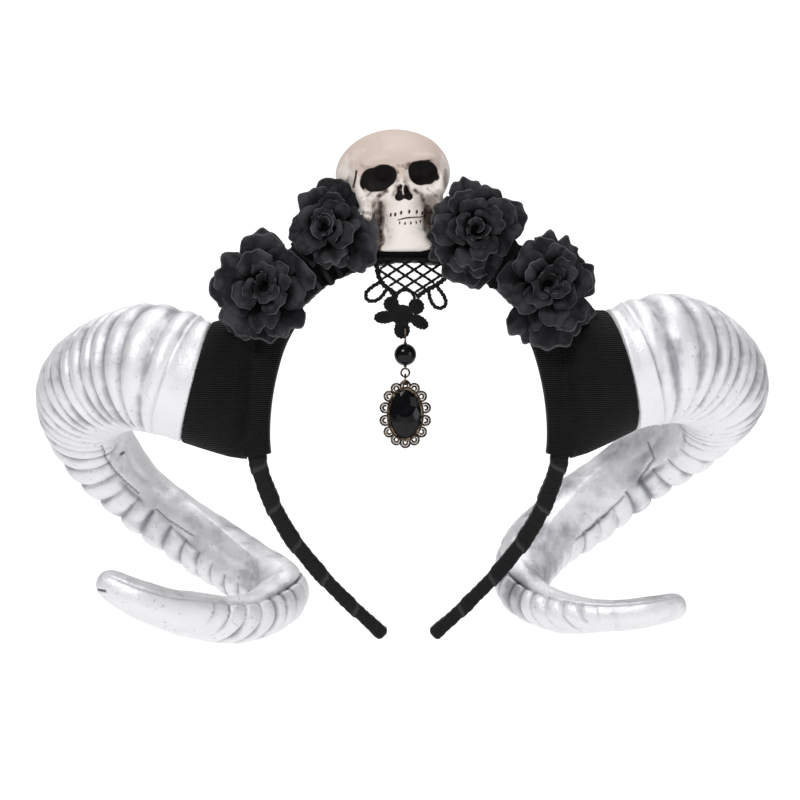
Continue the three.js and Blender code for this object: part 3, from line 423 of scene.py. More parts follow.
def close(piece, fill=True):
    """Merges the seam of a rolled grid, fills its ends and turns its faces outwards."""
    take(piece)
    bpy.ops.object.mode_set(mode="EDIT")
    bpy.ops.mesh.select_all(action="SELECT")
    bpy.ops.mesh.remove_doubles(threshold=0.000001)
    if fill:
        bpy.ops.mesh.fill_holes(sides=0)
        bpy.ops.mesh.select_all(action="SELECT")
    bpy.ops.mesh.normals_make_consistent(inside=False)
    bpy.ops.object.mode_set(mode="OBJECT")


def tube(name, path, radius, sides=10, step=0.3, across=(0, 1, 0), strands=0, twist=3.0, lump=0.12, bumps=0.0):
    """A cord or wire along a path: strands twist round it once in each twist, bumps swell it."""
    line = Line(path)
    piece, along, around = grid(name, max(8, int(line.length / step)), sides)
    distance, angle = along * line.length, around * 2 * math.pi
    place, slope = line.at(distance)
    side = np.cross(slope, np.array(across, float))
    side /= np.maximum(np.linalg.norm(side, axis=1), 1e-9)[:, None]
    other = np.cross(side, slope)
    size = np.full(len(angle), float(radius))
    if strands:
        size *= 1 + lump * np.cos(strands * (angle - 2 * math.pi * distance / twist / strands))
    if bumps:
        size *= 1 + 0.35 * np.abs(np.sin(math.pi * distance / bumps))
    if np.linalg.norm(line.places[0] - line.places[-1]) > 1e-6:
        end = np.minimum(distance, line.length - distance)
        size *= np.sqrt(np.clip(1 - (1 - np.clip(end / radius, 0, 1)) ** 2, 0.02, 1))
    move_corners(piece, place + side * (np.cos(angle) * size)[:, None] + other * (np.sin(angle) * size)[:, None])
    close(piece)
    return piece


def oval(x, z, half_width, half_height, y, count=40, start=0.0, end=360.0, tilt=0.0):
    """A path of points round an upright oval, or along a part of it."""
    angles = np.radians(np.linspace(start, end, count + 1))
    turn = math.radians(tilt)
    across, up = half_width * np.cos(angles), half_height * np.sin(angles)
    return np.stack([x + across * math.cos(turn) - up * math.sin(turn), np.full(count + 1, float(y)),
                     z + across * math.sin(turn) + up * math.cos(turn)], axis=-1)


def flat_path(points, y):
    return [(x, y, z) for x, z in points]


def ball(name, place, radii, segments=32, rings=20):
    begin()
    bpy.ops.mesh.primitive_uv_sphere_add(segments=segments, ring_count=rings, radius=1, location=(0, 0, 0))
    piece = bpy.context.object
    piece.name = name
    move_corners(piece, corners(piece) * MM * np.array(radii) + np.array(place))
    return piece


def turned(places, matrix):
    """Places in millimetres, moved by a matrix."""
    spin = np.array(matrix.to_3x3())
    return places @ spin.T + np.array(matrix.translation)


def modify(piece, kind, **settings):
    take(piece)
    modifier = piece.modifiers.new(kind.title(), kind)
    for key, value in settings.items():
        setattr(modifier, key, value)
    bpy.ops.object.modifier_apply(modifier=modifier.name)


def join(name, pieces):
    begin()
    for piece in pieces:
        piece.select_set(True)
    bpy.context.view_layer.objects.active = pieces[0]
    if len(pieces) > 1:
        bpy.ops.object.join()
    whole = bpy.context.object
    whole.name = name
    return whole


def dress(piece, material, body, nodes, angle=None):
    """Gives a finished piece its material and its body, and hides the imported parts that it stands for."""
    take(piece)
    bpy.ops.object.transform_apply(location=True, rotation=True, scale=True)
    if angle is None:
        bpy.ops.object.shade_smooth()
    else:
        bpy.ops.object.shade_smooth_by_angle(angle=math.radians(angle))
    piece.data.materials.clear()
    piece.data.materials.append(material)
    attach(piece, body)
    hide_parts(*nodes)


# Materials

class Nodes:
    """Adds nodes to a tree and joins their sockets by name."""

    def __init__(self, tree):
        self.tree = tree

    def add(self, kind, settings=None, **inputs):
        node = self.tree.nodes.new(kind)
        for key, value in (settings or {}).items():
            setattr(node, key, value)
        for key, value in inputs.items():
            numbered = key[0] == "i" and key[1:].isdigit()
            socket = node.inputs[int(key[1:]) if numbered else key.replace("_", " ")]
            if isinstance(value, bpy.types.NodeSocket):
                self.tree.links.new(value, socket)
            else:
                socket.default_value = value
        return node

    def math(self, operation, a, b=0.0):
        return self.add("ShaderNodeMath", {"operation": operation}, i0=a, i1=b).outputs[0]

    def between(self, value, low, high, out_low=0.0, out_high=1.0):
        node = self.add("ShaderNodeMapRange", {"interpolation_type": "SMOOTHSTEP"}, i0=value, i1=low, i2=high,
                        i3=out_low, i4=out_high)
        return node.outputs[0]

    def blend(self, share, a, b):
        node = self.add("ShaderNodeMix", {"data_type": "RGBA"}, i0=share, i6=a, i7=b)
        return node.outputs[2]

    def noise(self, place, scale, detail=3.0, rough=0.5):
        node = self.add("ShaderNodeTexNoise", None, Vector=place, Scale=scale, Detail=detail, Roughness=rough)
        return node.outputs[0]

    def attribute(self, name):
        return self.add("ShaderNodeAttribute", {"attribute_name": name}).outputs["Fac"]

    def place(self, stretch=(1, 1, 1)):
        spot = self.add("ShaderNodeTexCoord").outputs["Object"]
        if stretch == (1, 1, 1):
            return spot
        return self.add("ShaderNodeMapping", None, Vector=spot, Scale=stretch).outputs[0]


def group(name, inputs, outputs, build):
    """A shader node group with named inputs and outputs, built once."""
    found = bpy.data.node_groups.get(name)
    if found:
        return found
    tree = bpy.data.node_groups.new(name, "ShaderNodeTree")
    for title, kind, value in inputs:
        socket = tree.interface.new_socket(title, in_out="INPUT", socket_type=kind)
        if value is not None:
            socket.default_value = value
    for title, kind in outputs:
        tree.interface.new_socket(title, in_out="OUTPUT", socket_type=kind)
    start = tree.nodes.new("NodeGroupInput")
    end = tree.nodes.new("NodeGroupOutput")
    for title, socket in build(Nodes(tree), start.outputs).items():
        tree.links.new(socket, end.inputs[title])
    return tree


def material(name, build, **constants):
    """A material on a Principled shader: constants on its own sockets, the rest from nodes."""
    made = bpy.data.materials.new(name)
    made.use_nodes = True
    tree = made.node_tree
    shader = tree.nodes["Principled BSDF"]
    for key, value in constants.items():
        shader.inputs[key.replace("_", " ")].default_value = value
    nodes = Nodes(tree)
    parts = build(nodes)
    height = parts.pop("Height", None)
    if height is not None:
        socket, distance = height
        bump = nodes.add("ShaderNodeBump", None, Height=socket, Distance=distance, Strength=1.0)
        tree.links.new(bump.outputs[0], shader.inputs["Normal"])
    for key, socket in parts.items():
        tree.links.new(socket, shader.inputs[key])
    return made


def patches_group():
    """Two colours in soft patches, with fine grain over them."""
    def build(nodes, given):
        broad = nodes.noise(given["Place"], given["Patch Scale"], 4.0, 0.6)
        share = nodes.between(nodes.math("ADD", broad, given["Shift"]), 0.38, 0.68)
        grain = nodes.noise(given["Place"], given["Grain Scale"], 3.0, 0.65)
        return {"Color": nodes.blend(share, given["First"], given["Second"]), "Share": share, "Grain": grain}
    return group("Soft Patches", [
        ("Place", "NodeSocketVector", None), ("Patch Scale", "NodeSocketFloat", 30.0),
        ("Grain Scale", "NodeSocketFloat", 900.0), ("Shift", "NodeSocketFloat", 0.0),
        ("First", "NodeSocketColor", (0.8, 0.8, 0.8, 1)), ("Second", "NodeSocketColor", (0.5, 0.5, 0.5, 1)),
    ], [("Color", "NodeSocketColor"), ("Share", "NodeSocketFloat"), ("Grain", "NodeSocketFloat")], build)


def weave_group():
    """Fine threads across a cloth: their height, and a tint that follows them."""
    def build(nodes, given):
        waved = nodes.add("ShaderNodeTexWave", {"wave_type": "BANDS", "bands_direction": "Z", "wave_profile": "SIN"},
                          Vector=given["Place"], Scale=given["Rib Scale"], Distortion=given["Wander"],
                          Detail=2.0, Detail_Scale=1.2).outputs["Fac"]
        threads = nodes.noise(given["Place"], given["Thread Scale"], 2.0, 0.6)
        height = nodes.math("ADD", nodes.math("MULTIPLY", waved, 0.7), nodes.math("MULTIPLY", threads, 0.3))
        tint = nodes.between(height, 0.25, 0.9)
        return {"Height": height, "Tint": tint}
    return group("Ribbed Weave", [
        ("Place", "NodeSocketVector", None), ("Rib Scale", "NodeSocketFloat", 170.0),
        ("Thread Scale", "NodeSocketFloat", 1500.0), ("Wander", "NodeSocketFloat", 0.6),
    ], [("Height", "NodeSocketFloat"), ("Tint", "NodeSocketFloat")], build)


def placed(nodes, tree, **inputs):
    node = nodes.add("ShaderNodeGroup", {"node_tree": tree})
    for key, value in inputs.items():
        socket = node.inputs[key.replace("_", " ")]
        if isinstance(value, bpy.types.NodeSocket):
            nodes.tree.links.new(value, socket)
        else:
            socket.default_value = value
    return node.outputs


def grey(value, alpha=1.0):
    return (value, value, value, alpha)


def silver_paint(settings):
    """Brushed silver-white paint, greyer on the inner face; painted shade greys the grooves and darkens the groove
    bottoms, seams and slits.
    """
    light, dark = (*settings.horn_light, 1), (*settings.horn_dark, 1)

    def build(nodes):
        spot = nodes.place()
        groove, inner = nodes.attribute("groove"), nodes.attribute("inner")
        # painted shade: the paint shifts towards the darker colour down in the grooves; the inner face shifts a
        # little too
        shift = nodes.math("ADD", nodes.math("MULTIPLY", groove, 0.38), nodes.math("MULTIPLY", inner, 0.1))
        shift = nodes.math("SUBTRACT", shift, 0.15)
        out = placed(nodes, patches_group(), Place=spot, Patch_Scale=38.0, Grain_Scale=950.0, Shift=shift,
                     First=light, Second=dark)
        specks = nodes.between(nodes.noise(spot, 520.0, 1.0, 0.5), 0.68, 0.76)
        # the marks colour is painted shade in the groove bottoms, seams and slits, and the real pinholes of the
        # specks
        marks = nodes.math("MAXIMUM", nodes.math("MULTIPLY", specks, 0.3), nodes.attribute("mark"))
        color = nodes.blend(marks, out["Color"], (0.16, 0.15, 0.17, 1))
        streaks = nodes.noise(nodes.place((60, 400, 60)), 3.0, 2.0, 0.6)
        rough = nodes.math("ADD", nodes.math("MULTIPLY", out["Grain"], 0.3), nodes.math("MULTIPLY", streaks, 0.16))
        dents = nodes.noise(spot, 170.0, 2.0, 0.5)
        height = nodes.math("ADD", nodes.math("MULTIPLY", out["Grain"], 0.5), nodes.math("ADD", dents,
                            nodes.math("MULTIPLY", streaks, 0.25)))
        return {"Base Color": color, "Roughness": nodes.math("ADD", rough, 0.24), "Height": (height, 0.0005)}
    return material("Silver Paint", build, Metallic=0.4)


def wound_ribbon(settings):
    """Black satin ribbon with a soft sheen, fine cross threads and a painted highlight along the raised edge of each
    turn.
    """
    def build(nodes):
        spot = nodes.place()
        out = placed(nodes, weave_group(), Place=spot, Rib_Scale=420.0, Wander=2.0)
        color = nodes.blend(out["Tint"], (*settings.ribbon, 1), grey(0.012))
        # painted highlight: the raised edge of each ribbon turn is made lighter grey
        color = nodes.blend(nodes.attribute("edge"), color, grey(0.045))
        return {"Base Color": color, "Roughness": nodes.between(out["Tint"], 0, 1, 0.6, 0.48),
                "Height": (out["Height"], 0.0001)}
    return material("Wound Ribbon", build, Specular_IOR_Level=0.2)


def grosgrain(settings):
    """Black ribbed ribbon cloth."""
    def build(nodes):
        spot = nodes.place()
        out = placed(nodes, weave_group(), Place=spot, Rib_Scale=settings.rib_scale, Wander=1.3)
        patches = placed(nodes, patches_group(), Place=spot, Patch_Scale=60.0, Grain_Scale=1400.0, Shift=0.0,
                         First=(*settings.grosgrain, 1), Second=grey(0.006))
        color = nodes.blend(nodes.math("MULTIPLY", out["Tint"], 0.8), patches["Color"], grey(0.02))
        return {"Base Color": color, "Roughness": nodes.between(out["Tint"], 0, 1, 0.8, 0.55),
                "Height": (out["Height"], 0.00045)}
    return material("Grosgrain", build, Specular_IOR_Level=0.12)


def cast_ivory(settings):
    """Ivory casting with brown stain in its hollows."""
    def build(nodes):
        spot = nodes.place()
        crown = nodes.attribute("crown")
        out = placed(nodes, patches_group(), Place=spot, Patch_Scale=90.0, Grain_Scale=1100.0,
                     Shift=nodes.math("MULTIPLY", nodes.math("SUBTRACT", crown, 0.4), 0.46),
                     First=(*settings.ivory, 1), Second=(*settings.crown, 1))
        uneven = nodes.math("ADD", nodes.attribute("stain"), nodes.math("MULTIPLY", nodes.noise(spot, 420.0, 5.0), 0.8))
        brown = nodes.between(uneven, 0.62, 1.2)
        color = nodes.blend(brown, out["Color"], (*settings.stain, 1))
        black = nodes.between(nodes.attribute("dark"), 0.2, 0.75)
        color = nodes.blend(black, color, (0.009, 0.006, 0.006, 1))
        pores = nodes.between(nodes.noise(spot, 700.0, 2.0), 0.7, 0.78)
        color = nodes.blend(nodes.math("MULTIPLY", pores, 0.25), color, (*settings.stain, 1))
        height = nodes.math("SUBTRACT", out["Grain"], nodes.math("MULTIPLY", pores, 0.5))
        return {"Base Color": color, "Roughness": nodes.between(brown, 0, 1, 0.5, 0.72), "Height": (height, 0.00018)}
    return material("Cast Ivory", build, Specular_IOR_Level=0.35)


def rose_cloth(settings):
    """Charcoal petal cloth, darkened towards each petal's foot by painted shade, paler along the rims by wear and
    painted highlight.
    """
    def build(nodes):
        spot = nodes.place()
        out = placed(nodes, patches_group(), Place=spot, Patch_Scale=95.0, Grain_Scale=1600.0, Shift=0.0,
                     First=(*settings.petal, 1), Second=(*settings.petal_soft, 1))
        reach = nodes.attribute("rim")
        # painted shade: each petal darkens to near black towards its foot, deep inside the rose
        lit = nodes.between(reach, 0.3, 0.9)
        color = nodes.blend(lit, (0.002, 0.002, 0.0022, 1), out["Color"])
        # the rims are paler: partly wear of the cloth, partly painted highlight
        rim = nodes.between(nodes.math("ADD", reach, nodes.math("MULTIPLY", out["Grain"], 0.12)), 1.0, 1.06)
        color = nodes.blend(nodes.math("MULTIPLY", rim, 0.75), color, (*settings.petal_rim, 1))
        veins = nodes.math("MULTIPLY", nodes.attribute("vein"), 0.5)
        height = nodes.math("ADD", out["Grain"], veins)
        return {"Base Color": color, "Roughness": nodes.between(out["Grain"], 0.2, 0.8, 0.7, 0.95),
                "Height": (height, 0.00016)}
    return material("Rose Cloth", build, Sheen_Weight=0.05, Sheen_Roughness=0.4, Specular_IOR_Level=0.14)


def lace_cord(settings):
    """Black cotton cord with fine threads."""
    def build(nodes):
        spot = nodes.place()
        out = placed(nodes, weave_group(), Place=spot, Rib_Scale=700.0, Thread_Scale=2200.0, Wander=3.0)
        color = nodes.blend(out["Tint"], (0.002, 0.002, 0.002, 1), grey(0.024))
        # painted shade: the lace flower's petals are darker between their stitches
        color = nodes.blend(nodes.between(nodes.attribute("groove"), 0.2, 0.8), color, grey(0.001))
        return {"Base Color": color, "Roughness": nodes.between(out["Tint"], 0, 1, 0.9, 0.6),
                "Height": (out["Height"], 0.0003)}
    return material("Lace Cord", build, Specular_IOR_Level=0.25)


def antique_bronze(settings):
    """Bronze wire, dark where it can't be rubbed."""
    def build(nodes):
        out = placed(nodes, patches_group(), Place=nodes.place(), Patch_Scale=620.0, Grain_Scale=2600.0, Shift=0.08,
                     First=(*settings.bronze, 1), Second=(0.02, 0.014, 0.011, 1))
        return {"Base Color": out["Color"], "Roughness": nodes.between(out["Share"], 0, 1, 0.32, 0.6),
                "Height": (out["Grain"], 0.00006)}
    return material("Antique Bronze", build, Metallic=0.9)


def gloss_black(settings):
    """Polished black, with the faintest wear."""
    def build(nodes):
        out = placed(nodes, patches_group(), Place=nodes.place(), Patch_Scale=300.0, Grain_Scale=1500.0, Shift=-0.1,
                     First=(*settings.gloss, 1), Second=(0.006, 0.006, 0.009, 1))
        return {"Base Color": out["Color"], "Roughness": nodes.between(out["Grain"], 0.3, 0.8, 0.1, 0.17)}
    return material("Gloss Black", build, Specular_IOR_Level=0.3)


# Settings

def color(name, text, value):
    return bpy.props.FloatVectorProperty(name=name, description=text, default=value, size=3, min=0, max=1,
                                         subtype="COLOR")


def length(name, text, value):
    return bpy.props.FloatProperty(name=name, description=text, default=value * MM, unit="LENGTH")


class BandSettings(bpy.types.PropertyGroup):
    wrap_pitch: length("Turn pitch", "Distance from one ribbon turn to the next", 20)
    crease: length("Creases", "Depth of the creases in the ribbon", 0.25)
    ribbon: color("Ribbon", "Colour of the wound ribbon", (0.003, 0.003, 0.0035))
    grosgrain: color("Grosgrain", "Colour of the collars", (0.003, 0.003, 0.0036))
    rib_scale: bpy.props.FloatProperty(name="Rib scale", description="Ribs of the grosgrain", default=340.0)


class HornSettings(bpy.types.PropertyGroup):
    first_groove: length("First groove", "Distance of the first groove from the collar", 9.5)
    root_pitch: length("Root pitch", "Distance between grooves near the collar", 6.3)
    curl_pitch: length("Curl pitch", "Distance between grooves round the curl", 12)
    tip_pitch: length("Tip pitch", "Distance between grooves near the tip", 8.2)
    groove_depth: length("Groove depth", "Depth of the deeper grooves near the collar", 3.1)
    horn_light: color("Light paint", "Colour of the silver-white paint", (0.965, 0.965, 0.99))
    # the dark paint colour also serves as painted shade in the grooves
    horn_dark: color("Dark paint", "Colour of the paint where it is thin or in a groove", (0.42, 0.42, 0.46))


class SkullSettings(bpy.types.PropertyGroup):
    voxel: length("Voxel", "Size of the cells that melt the skull's masses together", 0.48)
    ivory: color("Ivory", "Colour of the face", (0.98, 0.91, 0.845))
    crown: color("Crown", "Colour of the top of the head", (0.73, 0.6, 0.53))
    stain: color("Stain", "Colour of the stain in the hollows", (0.075, 0.03, 0.02))


class RoseSettings(bpy.types.PropertyGroup):
    petal: color("Petal", "Colour of the petals", (0.0135, 0.0135, 0.016))
    petal_soft: color("Petal patches", "Colour of the petals where they are worn", (0.055, 0.055, 0.063))
    # the rim colour stands for wear of the rims and also for painted highlight along them
    petal_rim: color("Rim", "Colour of the worn rims", (0.13, 0.13, 0.14))
    thickness: length("Thickness", "Thickness of a petal", 0.35)
    flutter: length("Flutter", "Height of the waves in a petal", 1.7)


class DropSettings(bpy.types.PropertyGroup):
    cord: length("Net cord", "Radius of the net's cords", 0.6)
    border: length("Border cord", "Radius of the border cords", 0.88)
    bronze: color("Bronze", "Colour of the bronze where it is rubbed", (0.36, 0.28, 0.2))
    gloss: color("Gloss", "Colour of the bead and the stone", (0.002, 0.002, 0.003))


class StageSettings(bpy.types.PropertyGroup):
    camera_distance: bpy.props.FloatProperty(name="Camera distance", description="From the front of the piece",
                                             default=CAMERA_DISTANCE * MM, unit="LENGTH")
    view_width: bpy.props.FloatProperty(name="View width", description="Width that the picture shows at the band",
                                        default=VIEW_WIDTH * MM, unit="LENGTH")
    backdrop: color("Backdrop", "Colour of the floor and the backdrop", (0.92, 0.92, 0.92))
    surround: bpy.props.FloatProperty(name="Surround", description="Strength of the even light from all round",
                                      default=0.12)


# Operators

class HEADPIECE_OT_stage(bpy.types.Operator):
    """Makes the pale floor and backdrop, the soft lights and the camera"""
    bl_idname = "headpiece.stage"
    bl_label = "Stage"

    def execute(self, context):
        settings = context.scene.headpiece_stage
        begin()
        bpy.ops.mesh.primitive_grid_add(x_subdivisions=2, y_subdivisions=60, size=2)
        floor = context.object
        floor.name = "floor"
        places = corners(floor) * MM
        along = (places[:, 1] + 1) / 2 * 9
        bend = np.clip((along - 6) / 1.6, 0, 1) * math.pi / 2
        back = np.where(along < 6, along, 6 + np.sin(bend) * 1.02)
        up = np.where(along < 6, 0, (1 - np.cos(bend)) * 1.02 + np.clip(along - 7.6, 0, None) * 2)
        floor_places = np.stack([places[:, 0] * 6, back - 4, up - 0.32], axis=-1)
        move_corners(floor, floor_places / MM)
        take(floor)
        bpy.ops.object.shade_smooth()

        def build(nodes):
            out = placed(nodes, patches_group(), Place=nodes.place(), Patch_Scale=0.6, Grain_Scale=40.0, Shift=0.0,
                         First=(*settings.backdrop, 1), Second=(*settings.backdrop, 1))
            seen = nodes.add("ShaderNodeLightPath").outputs["Is Camera Ray"]
            return {"Base Color": out["Color"], "Emission Color": out["Color"],
                    "Emission Strength": nodes.between(seen, 0, 1, 0.3, 0.9)}
        floor.data.materials.append(material("Backdrop", build, Roughness=0.9))

        context.scene.view_settings.view_transform = "Standard"
        context.scene.world = bpy.data.worlds.new("Studio")
        context.scene.world.use_nodes = True
        studio = Nodes(context.scene.world.node_tree)
        ground = studio.tree.nodes["Background"]
        ground.inputs["Color"].default_value = (1, 1, 1, 1)
        seen = studio.add("ShaderNodeLightPath").outputs["Is Camera Ray"]
        studio.tree.links.new(studio.between(seen, 0, 1, settings.surround, 1.0), ground.inputs["Strength"])
        for name, spot, size, power in (
            ("key", (-0.7, -1.2, 1.1), 0.6, 15),
            ("fill", (1.3, -1.0, 0.2), 0.8, 4.5),
            ("top", (0.1, 0.3, 1.3), 0.8, 8),
        ):
            bpy.ops.object.light_add(type="AREA", location=spot)
            light = context.object
            light.name = name
            light.data.size = size
            light.data.energy = power
            light.rotation_euler = (Vector((0, 0, -0.06)) - Vector(spot)).to_track_quat("-Z", "Y").to_euler()

        bpy.ops.object.camera_add(location=(CAMERA_X * MM, -settings.camera_distance, CAMERA_Z * MM),
                                  rotation=(math.pi / 2, 0, 0))
        camera = context.object
        camera.name = "front"
        camera.data.sensor_width = 36
        camera.data.lens = 36 * settings.camera_distance / settings.view_width
        camera.data.clip_end = 30
        context.scene.camera = camera
        return {"FINISHED"}


class HEADPIECE_OT_band(bpy.types.Operator):
    """Makes the hair band with its ribbon wound on in slanting turns"""
    bl_idname = "headpiece.band"
    bl_label = "Band"

    def execute(self, context):
        settings = context.scene.headpiece_band
        piece, along, around = grid("band_ribbon", 620, 44)
        distance = mix(-BAND_HALF, BAND_HALF, along)
        angle = around * 2 * math.pi
        pitch = settings.wrap_pitch / MM
        # the edge of each turn runs round the band as a screw line, climbing outwards on both legs
        turn = np.abs(distance) / pitch + (1 - np.cos(angle)) * 0.11 + 0.1 * np.sin(angle)
        share = turn % 1
        rise = WRAP_STEP * (0.25 + 0.75 * share ** 1.5) * (1 - smooth(0.965, 1, share))
        base = band_skin(distance, angle, 0)
        folds = np.sin(share * 34 + ripple(base, 16, 3) * 2.5)
        folds = folds * smooth(0, 0.3, share) * (1 - smooth(0.8, 0.95, share))
        rise = rise + settings.crease / MM * (0.5 * folds + 0.7 * ripple(base, 9, 4))
        end = BAND_HALF - np.abs(distance)
        rise = rise - 1.6 * (1 - smooth(0, 1.6, end)) ** 2
        move_corners(piece, band_skin(distance, angle, np.clip(rise, -2.2, 0.95)))
        # painted highlight along the raised edge of each ribbon turn
        paint(piece, "edge", smooth(0.86, 0.95, share) * (1 - smooth(0.97, 0.99, share)))
        close(piece)
        dress(piece, wound_ribbon(settings), "headpiece", ["headband"])
        return {"FINISHED"}


def horn_grooves(settings):
    """Distances of the grooves along a horn: close near the collar, wider round the curl."""
    marks = [settings.first_groove / MM]
    while marks[-1] < 305:
        at = marks[-1]
        marks.append(at + (settings.root_pitch + smooth(82, 104, at) * (settings.curl_pitch - settings.root_pitch)
                           + smooth(190, 240, at) * (settings.tip_pitch - settings.curl_pitch)) / MM)
    return np.array(marks)


def horn_places(side, line, sizes, distance, angle):
    """Places on the smooth skin of a horn, and how much each faces the middle of its smooth face."""
    place, slope = line.at(distance)
    row = line.read(line.rows, distance)
    size = np.interp(row, np.arange(len(sizes)), sizes) * HORN_RADIUS
    axis = np.stack([np.full(len(place), BAND_HALF_WIDTH + COLLAR_LENGTH + CURL_AXIS_OUT),
                     np.full(len(place), CURL_AXIS_BACK), place[:, 2] + CURL_AXIS_LIFT], axis=-1)
    inward = axis - place
    inward -= slope * np.sum(inward * slope, axis=1)[:, None]
    inward /= np.linalg.norm(inward, axis=1)[:, None]
    across = np.cross(slope, inward)
    curled = smooth(45, 105, distance)
    turn = FACE_TURN * curled * (1 - 0.36 * smooth(232, 262, distance) - 0.36 * np.exp(-((row - 3.1) / 0.9) ** 2))
    facing = np.cos(angle - turn)

    def flattened(toward, flat, power):
        return np.where(toward > 0, 1 / ((np.maximum(toward, 0) / flat) ** power + 1) ** (1 / power), 1)

    outline = mix(flattened(np.cos(angle), 0.95, 6), np.minimum(flattened(facing, 0.95, 14),
                                                                flattened(np.cos(angle), 0.95, 5)), curled)
    left = np.clip((line.length - distance) / 8, 0, 1)
    radius = size * outline * np.sqrt(1 - (1 - left) ** 2.2 + 1e-6)
    return place, inward, across, radius, facing, np.sin(angle - turn)


class HEADPIECE_OT_horns(bpy.types.Operator):
    """Makes both horns: ribbed outside, smooth on the inner face, with their mould seams"""
    bl_idname = "headpiece.horns"
    bl_label = "Horns"

    def execute(self, context):
        settings = context.scene.headpiece_horn
        paint_silver = silver_paint(settings)
        for side, (sign, height, _, rows) in SIDES.items():
            origin = np.array((BAND_HALF_WIDTH + COLLAR_LENGTH, 0, -height))
            line = Line([origin + np.array((out * HORN_REACH, back * HORN_BACK, -down * HORN_DROP))
                         for out, back, down, _ in rows])
            sizes = np.array([row[3] for row in rows])
            sizes[-1] = TIP_SIZE
            plug = 9.0
            piece, along, around = grid(f"{side}_horn_shell", 560, 150)
            distance = mix(-plug, line.length, along)
            angle = around * 2 * math.pi
            ahead = np.maximum(distance, 0)
            place, inward, across, radius, facing, high = horn_places(side, line, sizes, ahead, angle)
            row = line.read(line.rows, ahead)
            curled = smooth(60, 105, ahead)
            tipward = smooth(7.0, 7.8, row)

            # the grooves run round the outer side; near the collar every second one is only a soft valley
            marks = horn_grooves(settings)
            bare = place + inward * radius[:, None]
            lean = 7 * tipward * high + ripple(bare, 40, 5) * 1.1 + 0.5 * ripple(bare, 13, 6)
            phase = np.interp(ahead + lean, marks, np.arange(len(marks)), left=-0.5, right=len(marks) - 0.5)
            near = np.clip(np.abs(phase - np.round(phase)) * 2, 0, 1)
            soft = (np.round(phase) % 2 == 1) * (1 - smooth(95, 112, ahead))
            sharp = 1 - np.sqrt(np.clip(1 - (1 - near) ** 2.2, 0, 1))
            valley = 0.85 * (1 - near) ** 1.5
            groove = mix(sharp, valley, soft)
            bound = mix(0.35, 0.1, curled)
            inside = smooth(bound - 0.08, bound + 0.1, facing) * mix(0.7, 1, curled)
            start = smooth(marks[0] - 1.5, marks[0], ahead + lean)
            end = 1 - smooth(8.2, 8.9, row - 0.25 * high)
            ribbed = (1 - inside) * start * end
            depth = settings.groove_depth / MM * mix(1, 1.25, curled * (1 - tipward)) * np.clip(
                radius / HORN_RADIUS, 0.25, 1) ** 0.45
            cut = depth * (groove - 0.2) * ribbed

            # the seam between the ribs and the smooth face, and the fold along the top of the tip
            seam = np.exp(-((facing - bound + 0.02) / 0.07) ** 2)
            low_seam = seam * smooth(0.1, 0.4, -high) * smooth(2.4, 2.9, row) * (1 - smooth(5.6, 6.4, row))
            opened = np.clip(0.4 + 0.9 * np.sin(row * 5.1 + 0.6), 0.1, 1)
            top_seam = seam * smooth(0.1, 0.4, high) * smooth(6.3, 6.9, row) * (1 - smooth(10.4, 10.9, row))
            wedge = np.exp(-((row - 7.0) / 0.55) ** 2)
            cut = cut + 1.5 * low_seam * opened + top_seam * (0.5 + 1.6 * wedge)
            face_fold = np.exp(-((facing - 0.75 - 0.1 * np.sin(row * 3)) / 0.1) ** 2) * curled
            cut = cut + 0.7 * face_fold * (0.5 + 0.5 * np.sin(row * 2.2))
            lumps = 0.45 * ripple(bare, 30, 7) + 0.16 * ripple(bare, 7, 8)
            outward = inward * np.cos(angle)[:, None] + across * np.sin(angle)[:, None]
            skin = place + outward * (radius - cut + lumps * smooth(2, 20, ahead))[:, None]
            skin[:, 0] *= sign

            # the root starts from the collar's rim, and its plug is hidden in the collar
            rim_share = 1 + np.minimum(distance, 0) / COLLAR_LENGTH
            inset = np.where(distance < -0.01, 2.0, 0) + 0.6 * (1 - smooth(0, 0.8, ahead))
            root = collar_ring(side, rim_share, angle, inset, GAP + ahead)
            skin = mix(root, skin, smooth(0, 9, distance)[:, None])
            spots = picture(skin)
            slit = np.zeros(len(skin))
            # each slit is pressed in, and its darkness is painted in as shade
            for where, first, last, wide, deep, tone, path in HORN_SLITS:
                gap = off_path(spots, path)
                here = (1 - smooth(0.3 * wide, wide, gap)) * (row > first) * (row < last) * (outward[:, 1] < -0.05)
                here = here * (side == where)
                skin[:, 1] += deep * here
                slit = np.maximum(slit, tone * here)
            move_corners(piece, skin)
            # the groove attribute greys the paint in the grooves: painted shade
            paint(piece, "groove", np.clip(groove * ribbed, 0, 1))
            paint(piece, "inner", (smooth(bound - 0.05, bound + 0.05, facing) * curled))
            # painted shade: the seams, slits and groove bottoms are painted darker, and the groove darkness varies at
            # random along the horn
            mark = 0.5 * low_seam * opened + top_seam * (0.25 + 0.7 * wedge)
            uneven = 0.7 + 0.6 * ripple(bare, 16, 9)
            mark = mark + mix(0.66, 0.45, curled) * smooth(0.84, 1, groove) * ribbed * uneven
            paint(piece, "mark", np.clip(mark + slit, 0, 1))
            close(piece)
            dress(piece, paint_silver, "headpiece", [f"{side}_horn"])
        return {"FINISHED"}


